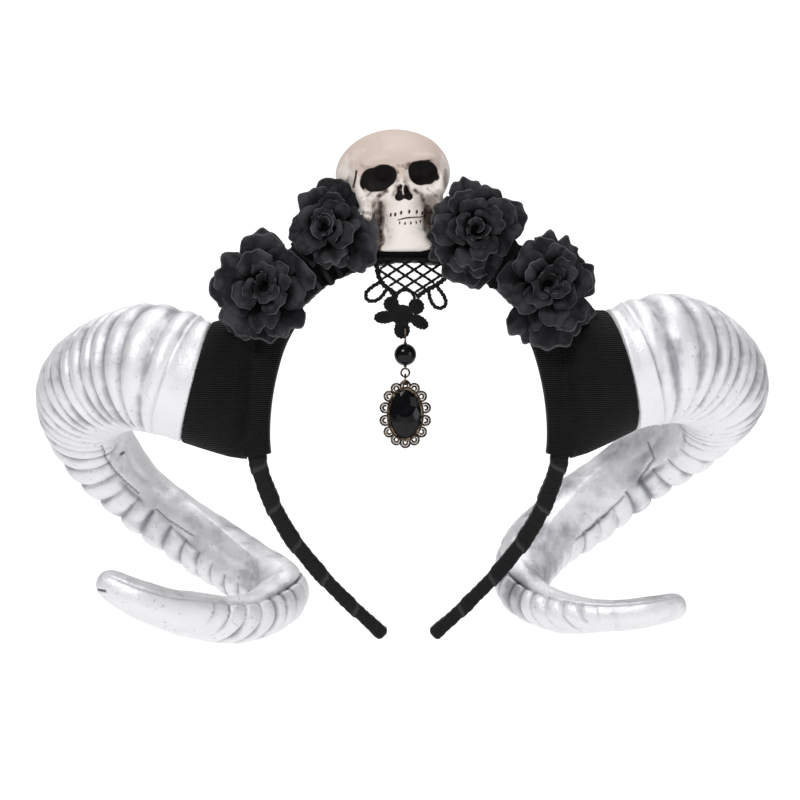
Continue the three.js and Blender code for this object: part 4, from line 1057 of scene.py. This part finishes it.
class HEADPIECE_OT_collars(bpy.types.Operator):
    """Makes the grosgrain collars that hold the horns to the band"""
    bl_idname = "headpiece.collars"
    bl_label = "Collars"

    def execute(self, context):
        settings = context.scene.headpiece_band
        cloth = grosgrain(settings)
        for side, (sign, _, _, _) in SIDES.items():
            cone, along, around = grid(f"{side}_collar_cloth", 60, 96)
            share = mix(-0.06, 1, along)
            move_corners(cone, collar_ring(side, share, around * 2 * math.pi, 0, 0 * share))
            close(cone)
            sleeve, along, around = grid("sleeve", 90, 64)
            tall = COLLAR_SECTIONS[0, 1] * COLLAR_RADIUS
            distance = sign * SLEEVE_DISTANCE + mix(-tall, tall, along)
            move_corners(sleeve, band_skin(distance, around * 2 * math.pi, 1.4 + CLOTH))
            close(sleeve)
            modify(cone, "BOOLEAN", operation="UNION", solver="EXACT", object=sleeve)
            bpy.data.objects.remove(sleeve)
            modify(cone, "REMESH", mode="VOXEL", voxel_size=0.8 * MM)
            modify(cone, "SMOOTH", factor=0.5, iterations=10)
            hollow, along, around = grid("hollow", 40, 96)
            share = mix(0.12, 1, along)
            inner = collar_ring(side, share, around * 2 * math.pi, CLOTH, np.where(along > 0.99, CLOTH, 0))
            move_corners(hollow, inner)
            close(hollow)
            modify(cone, "BOOLEAN", operation="DIFFERENCE", solver="EXACT", object=hollow)
            bpy.data.objects.remove(hollow)
            tunnel, along, around = grid("tunnel", 90, 64)
            distance = sign * SLEEVE_DISTANCE + mix(-tall - 8, tall + 8, along)
            move_corners(tunnel, band_skin(distance, around * 2 * math.pi, 1.3))
            close(tunnel)
            modify(cone, "BOOLEAN", operation="DIFFERENCE", solver="EXACT", object=tunnel)
            bpy.data.objects.remove(tunnel)
            places = corners(cone)
            folds = ripple(places * (1, 0.6, 0.22), 9, 31) + 0.5 * ripple(places * (1, 0.6, 0.4), 4.5, 32)
            places[:, 1] += 0.32 * folds * np.clip(places[:, 1] / 8, -1, 1)
            move_corners(cone, places)
            dress(cone, cloth, "headpiece", [f"{side}_collar"], 40)
        return {"FINISHED"}


class HEADPIECE_OT_trim(bpy.types.Operator):
    """Makes the ruffled cloth strip on the front of the band"""
    bl_idname = "headpiece.trim"
    bl_label = "Trim"

    def execute(self, context):
        piece, along, across = grid("trim_ruffle", 420, 22)
        share = mix(-1, 1, along)
        inner, outer = (np.interp(np.abs(share), TRIM_EDGES[:, 0], TRIM_EDGES[:, k]) * TRIM_WIDTH for k in (1, 2))
        base = np.stack([share * 60, across * 3, 0 * share], axis=-1)
        full = smooth(2, 8, outer - inner)
        ruffle = np.sin(share * 62 + 1.6 * ripple(base, 30, 11)) + 0.5 * np.sin(share * 131 + across * 2)
        rim = np.abs(across - 0.45) * 1.8
        fold = full * ruffle * (0.25 + 0.75 * rim)
        reach = mix(inner, outer, across) + full * (ripple(base, 14, 12) * 1.2 + 0.9 * np.sin(share * 62)) * rim
        back = -8.55 + 1.3 * np.clip(fold, -1.3, 1.0)
        move_corners(piece, band_place(share * TRIM_HALF_LENGTH, reach, back))
        close(piece, fill=False)
        modify(piece, "SOLIDIFY", thickness=0.5 * MM, offset=0)
        front = corners(piece)[:, 1]
        # painted shade: ruffle folds lying further back get a low rim value, so the cloth paints them darker
        paint(piece, "rim", 0.8 * smooth(7.8, 9.8, -front))
        paint(piece, "vein", 0 * front)
        dress(piece, rose_cloth(context.scene.headpiece_rose), "headpiece", ["trim_strip"])
        return {"FINISHED"}


class HEADPIECE_OT_skull(bpy.types.Operator):
    """Makes the small cast skull from masses melted together, with hollows, teeth and stain"""
    bl_idname = "headpiece.skull"
    bl_label = "Skull"

    def execute(self, context):
        settings = context.scene.headpiece_skull
        body = join("skull_casting", [ball("mass", row[:3], row[3:6]) for row in SKULL_MASSES])
        modify(body, "REMESH", mode="VOXEL", voxel_size=0.8 * MM)
        modify(body, "SMOOTH", factor=0.6, iterations=14)
        hollows = join("hollows", [ball("hollow", row[:3], row[3:6]) for row in SKULL_HOLLOWS])
        modify(hollows, "REMESH", mode="VOXEL", voxel_size=0.6 * MM)
        modify(body, "BOOLEAN", operation="DIFFERENCE", solver="EXACT", object=hollows)
        bpy.data.objects.remove(hollows)
        modify(body, "REMESH", mode="VOXEL", voxel_size=settings.voxel)
        modify(body, "SMOOTH", factor=0.5, iterations=5)

        # stain and black lie where the skin is deep inside the masses, as only hollows bring it
        places = corners(body)
        sunk = np.max([(1 - np.linalg.norm((places - row[:3]) / row[3:6], axis=1)) * min(row[3:6])
                       for row in SKULL_MASSES], axis=0)
        near = np.max([(1 - smooth(1.02, 1.3, np.linalg.norm((places - row[:3]) / row[3:6], axis=1))) * row[6]
                       for row in SKULL_HOLLOWS], axis=0)
        stain = smooth(0.1, 1.3, sunk) * np.clip(near * 2, 0, 1)
        dark = smooth(0.5, 1.4, sunk) * smooth(0.55, 0.8, near)
        front = smooth(4, 12, -places[:, 1])
        low = 1 - smooth(8, 24, places[:, 2])
        beside = np.abs(places[:, 0])
        jaw = low * smooth(8.5, 11.5, beside) * (1 - smooth(15, 19, -places[:, 1]))
        cheek = (1 - smooth(22, 30, places[:, 2])) * smooth(9, 12, beside) * front
        stain = np.maximum(stain, np.maximum(0.7 * jaw, 0.3 * cheek))
        crown = smooth(30, 50, places[:, 2] - 0.35 * places[:, 1]) + 0.5 * smooth(-6, 14, places[:, 1])
        places = places + (ripple(places, 12, 21) * 0.12)[:, None] * places / np.linalg.norm(places, axis=1)[:, None]
        places = turned(places, SKULL_PLACE)
        foot = np.where(places[:, 1] < -11, 4.3, BAND_THICKNESS + 0.8 + GAP)
        places[:, 2] = np.maximum(places[:, 2], foot)
        spots = picture(places)
        for wide, deep, tone, path in SKULL_MARKS:
            gap = off_path(spots, path)
            mark = (1 - smooth(0.25 * wide, wide, gap)) * (places[:, 1] < -3)
            places[:, 1] += deep * mark
            tint = mark if wide < 2 else (1 - smooth(0, 1.5 * wide, gap)) * (places[:, 1] < -3)
            stain = np.maximum(stain, tint * tone)
        move_corners(body, places)
        paint(body, "stain", stain)
        paint(body, "dark", dark)
        paint(body, "crown", np.clip(crown, 0, 1))
        dress(body, cast_ivory(settings), "headpiece", ["skull"])
        return {"FINISHED"}


def rose_place(rose):
    x, z, _, stand, yaw, pitch, turn = rose
    whole = Matrix.Translation((x, -(TRIM_FRONT + GAP + 0.55 + stand), z))
    for degrees, axis in ((yaw, "Z"), (90 - pitch, "X"), (turn, "Z")):
        whole = whole @ Matrix.Rotation(math.radians(degrees), 4, axis)
    return whole


def petal_places(u, v, ring, size, angle, chance, flutter):
    """Places on one petal: u across it from -1 to 1, v from its foot to its rim."""
    _, count, foot_radius, reach, foot, slope, cup, curl, wide, _, pinked = ring
    length = ROSE_RADIUS * size * (reach - foot_radius) * chance.uniform(0.9, 1.05)
    slope, curl = slope + chance.uniform(-9, 9) * (foot > 0.5), curl * chance.uniform(0.6, 1.3)
    point, lean, waves, start = (chance.uniform(*pair) for pair in ((-0.12, 0.06), (-1, 1), (3, 6), (0, 6)))
    tip = 1 - 0.14 * np.abs(u) ** 3 - 0.03 * np.sin(9 * u + start) + point * np.exp(-(u / 0.22) ** 2)
    tip = tip + pinked * (np.abs((u * 6.5 + 0.5) % 1 - 0.5) * 2 - 0.5)
    # the petal rises from its foot, cups, and rolls over at the rim, more at one corner than the other
    steps = np.linspace(0.02, 0.98, 26)[None, :] * v[:, None]
    roll = (curl * (1 + 0.45 * lean * u + 0.25 * u ** 2))[:, None]
    rise = np.radians(slope + 13 * lean * u[:, None] + cup * smooth(0, 0.5, steps)
                      - roll * smooth(0.5, 1.02, steps) ** 1.3)
    along = length * v * tip
    radius = ROSE_RADIUS * size * foot_radius + along * np.cos(rise).mean(axis=1)
    height = foot + along * np.sin(rise).mean(axis=1)
    crease = np.exp(-(u / 0.14) ** 2) * smooth(0, 0.4, v)
    height = height - 0.8 * crease + flutter * np.sin(waves * u + start) * v ** 2
    height = height + 0.3 * flutter * np.sin(2.3 * waves * u + 7 * v + start) * smooth(0.2, 0.8, v)
    profile = (0.35 + 0.65 * smooth(0, 0.5, v) ** 0.6) * (1 - 0.22 * smooth(0.72, 1, v))
    spread = angle + math.pi / count * wide * profile * u
    radius = radius + 0.9 * np.abs(u) ** 3 * smooth(0.3, 1, v) * lean * u
    return np.stack([np.cos(spread) * radius, np.sin(spread) * radius, height], axis=-1)


def bud_places(u, v, size, layer, turn):
    """Places on one rolled layer of a rose's bud."""
    spread = turn + u * math.pi * 0.85
    radius = ROSE_RADIUS * size * (0.05 + 0.055 * layer + 0.05 * v + 0.045 * u)
    radius = radius + 1.4 * smooth(0.6, 1, v) * (1 + 0.5 * np.sin(3 * u + turn))
    height = 5 + (4.4 + layer + 1.8 * np.cos(u * 2.6 + turn)) * v
    return np.stack([np.cos(spread) * radius, np.sin(spread) * radius, height], axis=-1)


def keep_clear(places, index):
    """Moves petals that press on the trim, a neighbour, the skull or a collar to lie against it."""
    x, z, size = ROSES[index][:3]
    other = ROSES[index - 1 if index % 2 else index + 1]
    way = np.array((other[0] - x, 0, other[1] - z))
    limit = np.linalg.norm(way) * size / (size + other[2]) - 0.3
    way = way / np.linalg.norm(way)
    out = (places - (x, 0, z)) @ way
    over = np.maximum(out - (limit - 5), 0)
    places = places + ((5 * np.tanh(over / 5) - over)[:, None] * way)
    if index in (1, 2):
        for row in SKULL_MASSES[:1] + SKULL_MASSES[6:8] + SKULL_MASSES[14:18]:
            middle = np.array(SKULL_PLACE @ Vector(row[:3]))
            radii = np.array(row[3:6]) + 0.9
            reach = np.linalg.norm((places - middle) / radii, axis=1)
            push = np.maximum(reach, 1)
            places = middle + (places - middle) * (push / np.maximum(reach, 1e-6))[:, None]
    else:
        side = "left" if index == 0 else "right"
        share = (np.abs(places[:, 0]) - BAND_HALF_WIDTH) / COLLAR_LENGTH
        tall, deep = (np.interp(share, COLLAR_SECTIONS[:, 0], COLLAR_SECTIONS[:, k]) * COLLAR_RADIUS for k in (1, 2))
        middle = mix(COLLAR_BAND_HEIGHT, SIDES[side][1], np.clip(share, 0, 1))
        up = (places[:, 2] + middle) / tall
        front = -deep * np.sqrt(np.clip(1 - up ** 2, 0, 1)) - 0.8
        front = np.where((share > -0.1) & (share < 1.02) & (np.abs(up) < 1), front - 0.3, 20)
        behind = np.maximum(places[:, 1] - front, 0)
        places[:, 1] += 0.3 * np.tanh(0.5 * behind) - behind
    behind = np.maximum(places[:, 1] + TRIM_FRONT + 0.7, 0)
    places[:, 1] += 0.3 * np.tanh(0.5 * behind) - behind
    return places


class HEADPIECE_OT_roses(bpy.types.Operator):
    """Makes the four cloth roses petal by petal"""
    bl_idname = "headpiece.roses"
    bl_label = "Roses"

    def execute(self, context):
        settings = context.scene.headpiece_rose
        cloth = rose_cloth(settings)
        flutter = settings.flutter / MM
        for index, rose in enumerate(ROSES):
            chance = np.random.default_rng(40 + index)
            size = rose[2]
            parts = {"outer": [], "middle": [], "inner": [], "bud": []}

            def add_petal(part, shape):
                piece, along, v = grid("petal", 16, 18)
                u = mix(-1, 1, along)
                move_corners(piece, shape(u, v))
                close(piece, fill=False)
                paint(piece, "rim", np.maximum(v, 0.9 * np.abs(u) * smooth(0.3, 0.8, v)))
                paint(piece, "vein", (0.5 + 0.5 * np.cos(u * 26 + v * 3)) * (part != "bud"))
                modify(piece, "SOLIDIFY", thickness=settings.thickness, offset=0)
                parts[part].append(piece)

            for ring in PETAL_RINGS:
                part, count, first = ring[0], ring[1], ring[9]
                for k in range(count):
                    angle = math.radians(first + 360 * k / count + chance.uniform(-15, 15))
                    add_petal(part, lambda u, v: petal_places(u, v, ring, size, angle, chance, flutter))
            for _, way, far, half, pinked in (row for row in LOOSE_PETALS if row[0] == index):
                ring = ("outer", 1, 0.12, far / size, 0.3, 1, 8, 34, half / math.pi, 0, pinked)
                angle = math.radians(way - rose[6])
                add_petal("outer", lambda u, v: petal_places(u, v, ring, size, angle, chance, 1.3 * flutter))
            # the heart plugs the rose's centre and gets no rim value, so it is painted in the near-black painted
            # shade of the petal feet
            heart = ball("heart", (0, 0, 4.2), (4.2 * size, 4.2 * size, 3.4), 24, 12)
            paint(heart, "rim", np.zeros(len(heart.data.vertices)))
            paint(heart, "vein", np.zeros(len(heart.data.vertices)))
            parts["bud"].append(heart)
            for k in range(2):
                turn = chance.uniform(0, 6)
                add_petal("bud", lambda u, v: bud_places(u, v, size, k, turn))

            nodes = {"outer": "outer_petals", "middle": "middle_petals", "inner": "inner_petals", "bud": "bud"}
            for part, petals in parts.items():
                whole = join(f"rose_{index + 1}_{part}_cloth", petals)
                places = turned(corners(whole), rose_place(rose))
                move_corners(whole, keep_clear(places, index))
                dress(whole, cloth, "headpiece", [f"rose_{index + 1}_{nodes[part]}"])
        return {"FINISHED"}


class HEADPIECE_OT_lace(bpy.types.Operator):
    """Makes the lace: a net of cords in a border, picot loops and a worked flower"""
    bl_idname = "headpiece.lace"
    bl_label = "Lace"

    def execute(self, context):
        settings = context.scene.headpiece_drop
        cord, border = settings.cord / MM, settings.border / MM
        pieces = []
        left, right = np.array(LACE_LEFT), np.array(LACE_RIGHT)
        eye_x, eye_z, eye_radius = LACE_EYE

        def inside(x, z):
            low = np.interp(-z, -left[:, 1], left[:, 0])
            high = np.interp(-z, -right[:, 1], right[:, 0])
            out_of_eye = np.hypot(x - eye_x, z - eye_z) > eye_radius
            return (x > low) & (x < high) & (z <= LACE_TOP) & (z > -17) & out_of_eye

        slope = NET_DOWN / NET_ACROSS
        for side in (-1, 1):
            for step in range(-8, 9):
                z = np.linspace(LACE_TOP, -17.5, 160)
                x = DROP_X + (step + 0.5) * NET_ACROSS + side * (LACE_TOP - z) / slope
                kept = inside(x, z)
                if kept.sum() < 14:
                    continue
                x, z = x[kept][::6], z[kept][::6]
                depth = LACE_Y + side * 0.22 + 0 * x
                if len(x) > 2:
                    pieces.append(tube("cord", np.stack([x, depth, z], axis=-1), cord, 8, 0.4, strands=2, twist=2.2))
        for path in (LACE_LEFT, LACE_RIGHT):
            pieces.append(tube("border", flat_path(path, LACE_Y), border, 12, 0.25, strands=3, twist=2.4, lump=0.16,
                               bumps=1.6))
        edge = flat_path(((-15, LACE_TOP), (0, LACE_TOP - 0.3), (16, LACE_TOP)), LACE_Y)
        pieces.append(tube("border", edge, border, 12, 0.3, strands=3, twist=2.4, lump=0.16))
        pieces.append(tube("eye", oval(eye_x, eye_z, eye_radius, eye_radius, LACE_Y, 24), 0.7, 10, 0.25, strands=3,
                           twist=2.4, lump=0.16))
        for path in (PICOT_LEFT, PICOT_RIGHT):
            pieces.append(tube("picot", flat_path(path, LACE_Y), 0.72, 12, 0.22, strands=3, twist=2.4, lump=0.14,
                               bumps=1.5))
        for x, z, half_width, half_height, tilt in LACE_PETALS:
            petal = ball("petal", (0, 0, 0), (half_width, 0.62, half_height), 48, 24)
            places = corners(petal)
            stitches = np.abs(np.sin(places[:, 0] * 2.6 + 1.3 * np.abs(places[:, 2])))
            places[:, 1] *= 0.5 + 0.9 * stitches
            # the dips between stitches are painted darker: painted shade
            paint(petal, "groove", 1 - stitches)
            spin = Matrix.Translation((x, LACE_Y, z)) @ Matrix.Rotation(math.radians(-tilt), 4, "Y")
            move_corners(petal, turned(places, spin))
            pieces.append(petal)
            edge = oval(x, z, half_width - 0.3, half_height - 0.3, LACE_Y, 28, tilt=tilt)
            pieces.append(tube("petal_edge", edge, 0.55, 8, 0.3, strands=2, twist=1.6, lump=0.2, bumps=1.3))
        whole = join("lace_cords", pieces)
        dress(whole, lace_cord(settings), "headpiece", ["lace_drop"])
        return {"FINISHED"}


class HEADPIECE_OT_drop(bpy.types.Operator):
    """Makes the wire drop with its loop and eye, and the bead on it"""
    bl_idname = "headpiece.drop"
    bl_label = "Drop"

    def execute(self, context):
        settings = context.scene.headpiece_drop
        metal = antique_bronze(settings)
        loop_z = LOOP_TOP - LOOP_HALF_HEIGHT + WIRE_RADIUS
        angles = np.radians(np.linspace(-90, 270, 41))
        loop = np.stack([DROP_X + 0 * angles, DROP_Y + LOOP_HALF_DEPTH * np.cos(angles),
                         loop_z + (LOOP_HALF_HEIGHT - WIRE_RADIUS) * np.sin(angles)], axis=-1)
        low = loop_z - LOOP_HALF_HEIGHT + WIRE_RADIUS
        wires = [
            tube("wire", loop, WIRE_RADIUS, 14, 0.3, across=(1, 0, 0)),
            tube("wire", [(DROP_X, DROP_Y, low), (DROP_X, DROP_Y, BEAD_Z), (DROP_X, DROP_Y, EYE_Z + EYE_RADIUS)],
                 WIRE_RADIUS, 12, 0.4),
            tube("wire", oval(DROP_X, EYE_Z, EYE_RADIUS, EYE_RADIUS, DROP_Y, 40, 90, 450), WIRE_RADIUS, 14, 0.25),
        ]
        for z in (BEAD_Z + BEAD_RADIUS + 0.25, BEAD_Z - BEAD_RADIUS - 0.3):
            angles = np.radians(np.linspace(0, 540, 40))
            wires.append(tube("wire", np.stack([DROP_X + 0.62 * np.cos(angles), DROP_Y + 0.62 * np.sin(angles),
                                                z + (angles / angles[-1] - 0.5) * 0.5], axis=-1), 0.22, 8, 0.15,
                              across=(0, 0, 1)))
        dress(join("drop_wire", wires), metal, "drop", ["drop_pin"])

        bead, along, around = grid("bead_round", 40, 56)
        start = math.asin((WIRE_RADIUS + 0.25) / BEAD_RADIUS)
        angle = np.where(along < 0.985, mix(start, math.pi - start, along / 0.985), math.pi - start)
        bore = mix(1, -1, (along - 0.985) / 0.015) * math.cos(start)
        up = np.where(along < 0.985, -np.cos(angle), bore) * BEAD_RADIUS
        out = BEAD_RADIUS * np.sin(angle)
        turn = around * 2 * math.pi
        move_corners(bead, np.stack([DROP_X + out * np.cos(turn), DROP_Y + out * np.sin(turn), BEAD_Z + up], axis=-1))
        close(bead, fill=False)
        dress(bead, gloss_black(settings), "drop", ["drop_bead"], 50)
        return {"FINISHED"}


class HEADPIECE_OT_pendant(bpy.types.Operator):
    """Makes the oval pendant: a rim of double wire scallops, a bezel, a ring and a cut stone"""
    bl_idname = "headpiece.pendant"
    bl_label = "Pendant"

    def execute(self, context):
        settings = context.scene.headpiece_drop
        metal = antique_bronze(settings)
        wires = []
        for k in range(SCALLOP_COUNT):
            turn = math.pi / 2 + 2 * math.pi * k / SCALLOP_COUNT
            x = DROP_X + (FRAME_HALF_WIDTH - 2.55) * math.cos(turn)
            z = FRAME_Z + (FRAME_HALF_HEIGHT - 2.55) * math.sin(turn)
            lean = math.degrees(math.atan2(math.sin(turn) / FRAME_HALF_HEIGHT, math.cos(turn) / FRAME_HALF_WIDTH))
            for radius, depth, thick in ((2.15, 0, 0.48), (1.0, -0.35, 0.5)):
                arc = oval(x, z, radius, radius, DROP_Y + depth, 20, lean - 128, lean + 128)
                wires.append(tube("scallop", arc, thick, 8, 0.3, strands=2, twist=1.1, lump=0.1))
        for half_width, half_height, depth, thick, strands in (
            (BEZEL_HALF_WIDTH - 0.4, BEZEL_HALF_HEIGHT - 0.4, -2.35, 0.5, 0),
            (BEZEL_HALF_WIDTH + 0.15, BEZEL_HALF_HEIGHT + 0.15, -0.7, 0.55, 2),
        ):
            wires.append(tube("bezel", oval(DROP_X, FRAME_Z, half_width, half_height, DROP_Y + depth, 60), thick, 12,
                              0.3, strands=strands, twist=1.2, lump=0.18))
        wall, along, around = grid("bezel_wall", 80, 12)
        turn, loop = along * 2 * math.pi, around * 2 * math.pi
        out = 0.42 * np.sign(np.cos(loop)) * np.abs(np.cos(loop)) ** 0.3
        deep = 1.35 * np.sign(np.sin(loop)) * np.abs(np.sin(loop)) ** 0.3
        move_corners(wall, np.stack([DROP_X + (BEZEL_HALF_WIDTH - 0.4 + out) * np.cos(turn), DROP_Y - 0.9 + deep,
                                     FRAME_Z + (BEZEL_HALF_HEIGHT - 0.4 + out) * np.sin(turn)], axis=-1))
        close(wall, fill=False)
        plate = ball("plate", (DROP_X, DROP_Y + 0.35, FRAME_Z),
                     (BEZEL_HALF_WIDTH - 0.2, 0.45, BEZEL_HALF_HEIGHT - 0.2), 48, 16)
        turn = np.radians(np.arange(41) * 9)
        ring = np.stack([DROP_X + 0 * turn, DROP_Y + 1.9 * np.cos(turn), BAIL_Z + 1.9 * np.sin(turn)], axis=-1)
        bail = tube("bail", ring, WIRE_RADIUS, 14, 0.25, across=(1, 0, 0))
        top = FRAME_Z + FRAME_HALF_HEIGHT - 1.1
        knob = ball("knob", (DROP_X, DROP_Y - 0.1, top), (1.7, 0.8, 1.3), 24, 16)
        dress(join("pendant_setting", [*wires, wall, plate, bail, knob]), metal, "pendant", ["pendant_frame"])

        begin()
        bpy.ops.mesh.primitive_cylinder_add(vertices=16, radius=1, depth=1, location=(0, 0, 0))
        stone = context.object
        stone.name = "pendant_gem"
        bpy.ops.object.mode_set(mode="EDIT")
        bpy.ops.mesh.select_all(action="SELECT")
        bpy.ops.mesh.duplicate()
        bpy.ops.mesh.duplicate()
        bpy.ops.object.mode_set(mode="OBJECT")
        # rings of the cut, from the girdle to the table: share of the size, height, turn and number of corners
        levels = ((1, 0.3, 0, 16), (0.93, 0, 0, 16), (1, 0.42, 0, 16),
                  (0.8, 0.72, 0.5, 8), (0.52, 0.91, 0, 8), (0.2, 1, 0.5, 4))
        places = []
        for size, rise, offset, count in levels:
            for k in range(16):
                turn = 2 * math.pi * (k * count // 16 + offset) / count
                places.append((DROP_X + size * (BEZEL_HALF_WIDTH - 1.1) * math.cos(turn), DROP_Y - 1.1 - rise * 3.4,
                               FRAME_Z + size * (BEZEL_HALF_HEIGHT - 1.1) * math.sin(turn)))
        move_corners(stone, places)
        take(stone)
        bpy.ops.object.mode_set(mode="EDIT")
        bpy.ops.mesh.select_all(action="SELECT")
        bpy.ops.mesh.convex_hull()
        bpy.ops.mesh.select_all(action="SELECT")
        bpy.ops.mesh.remove_doubles(threshold=0.00001)
        bpy.ops.mesh.normals_make_consistent(inside=False)
        bpy.ops.object.mode_set(mode="OBJECT")
        modify(stone, "BEVEL", width=0.08 * MM, segments=1)
        dress(stone, gloss_black(settings), "pendant", ["pendant_stone"], 2)
        return {"FINISHED"}


class HEADPIECE_PT_panel(bpy.types.Panel):
    """Lists the pieces of the headband in the sidebar"""
    bl_idname = "HEADPIECE_PT_panel"
    bl_label = "Ram Horns Headband"
    bl_space_type = "VIEW_3D"
    bl_region_type = "UI"
    bl_category = "Headband"

    def draw(self, context):
        for operator in OPERATORS:
            self.layout.operator(operator.bl_idname)


OPERATORS = (
    HEADPIECE_OT_stage,
    HEADPIECE_OT_band,
    HEADPIECE_OT_horns,
    HEADPIECE_OT_collars,
    HEADPIECE_OT_trim,
    HEADPIECE_OT_skull,
    HEADPIECE_OT_roses,
    HEADPIECE_OT_lace,
    HEADPIECE_OT_drop,
    HEADPIECE_OT_pendant,
)
SETTINGS = {
    "headpiece_stage": StageSettings,
    "headpiece_band": BandSettings,
    "headpiece_horn": HornSettings,
    "headpiece_skull": SkullSettings,
    "headpiece_rose": RoseSettings,
    "headpiece_drop": DropSettings,
}


def register():
    for made in (*SETTINGS.values(), *OPERATORS, HEADPIECE_PT_panel):
        bpy.utils.register_class(made)
    for name, made in SETTINGS.items():
        setattr(bpy.types.Scene, name, bpy.props.PointerProperty(type=made))


def unregister():
    for name in SETTINGS:
        delattr(bpy.types.Scene, name)
    for made in reversed((*SETTINGS.values(), *OPERATORS, HEADPIECE_PT_panel)):
        bpy.utils.unregister_class(made)


def main():
    register()
    for operator in OPERATORS:
        section, name = operator.bl_idname.split(".")
        getattr(getattr(bpy.ops, section), name)()


if __name__ == "__main__":
    main()
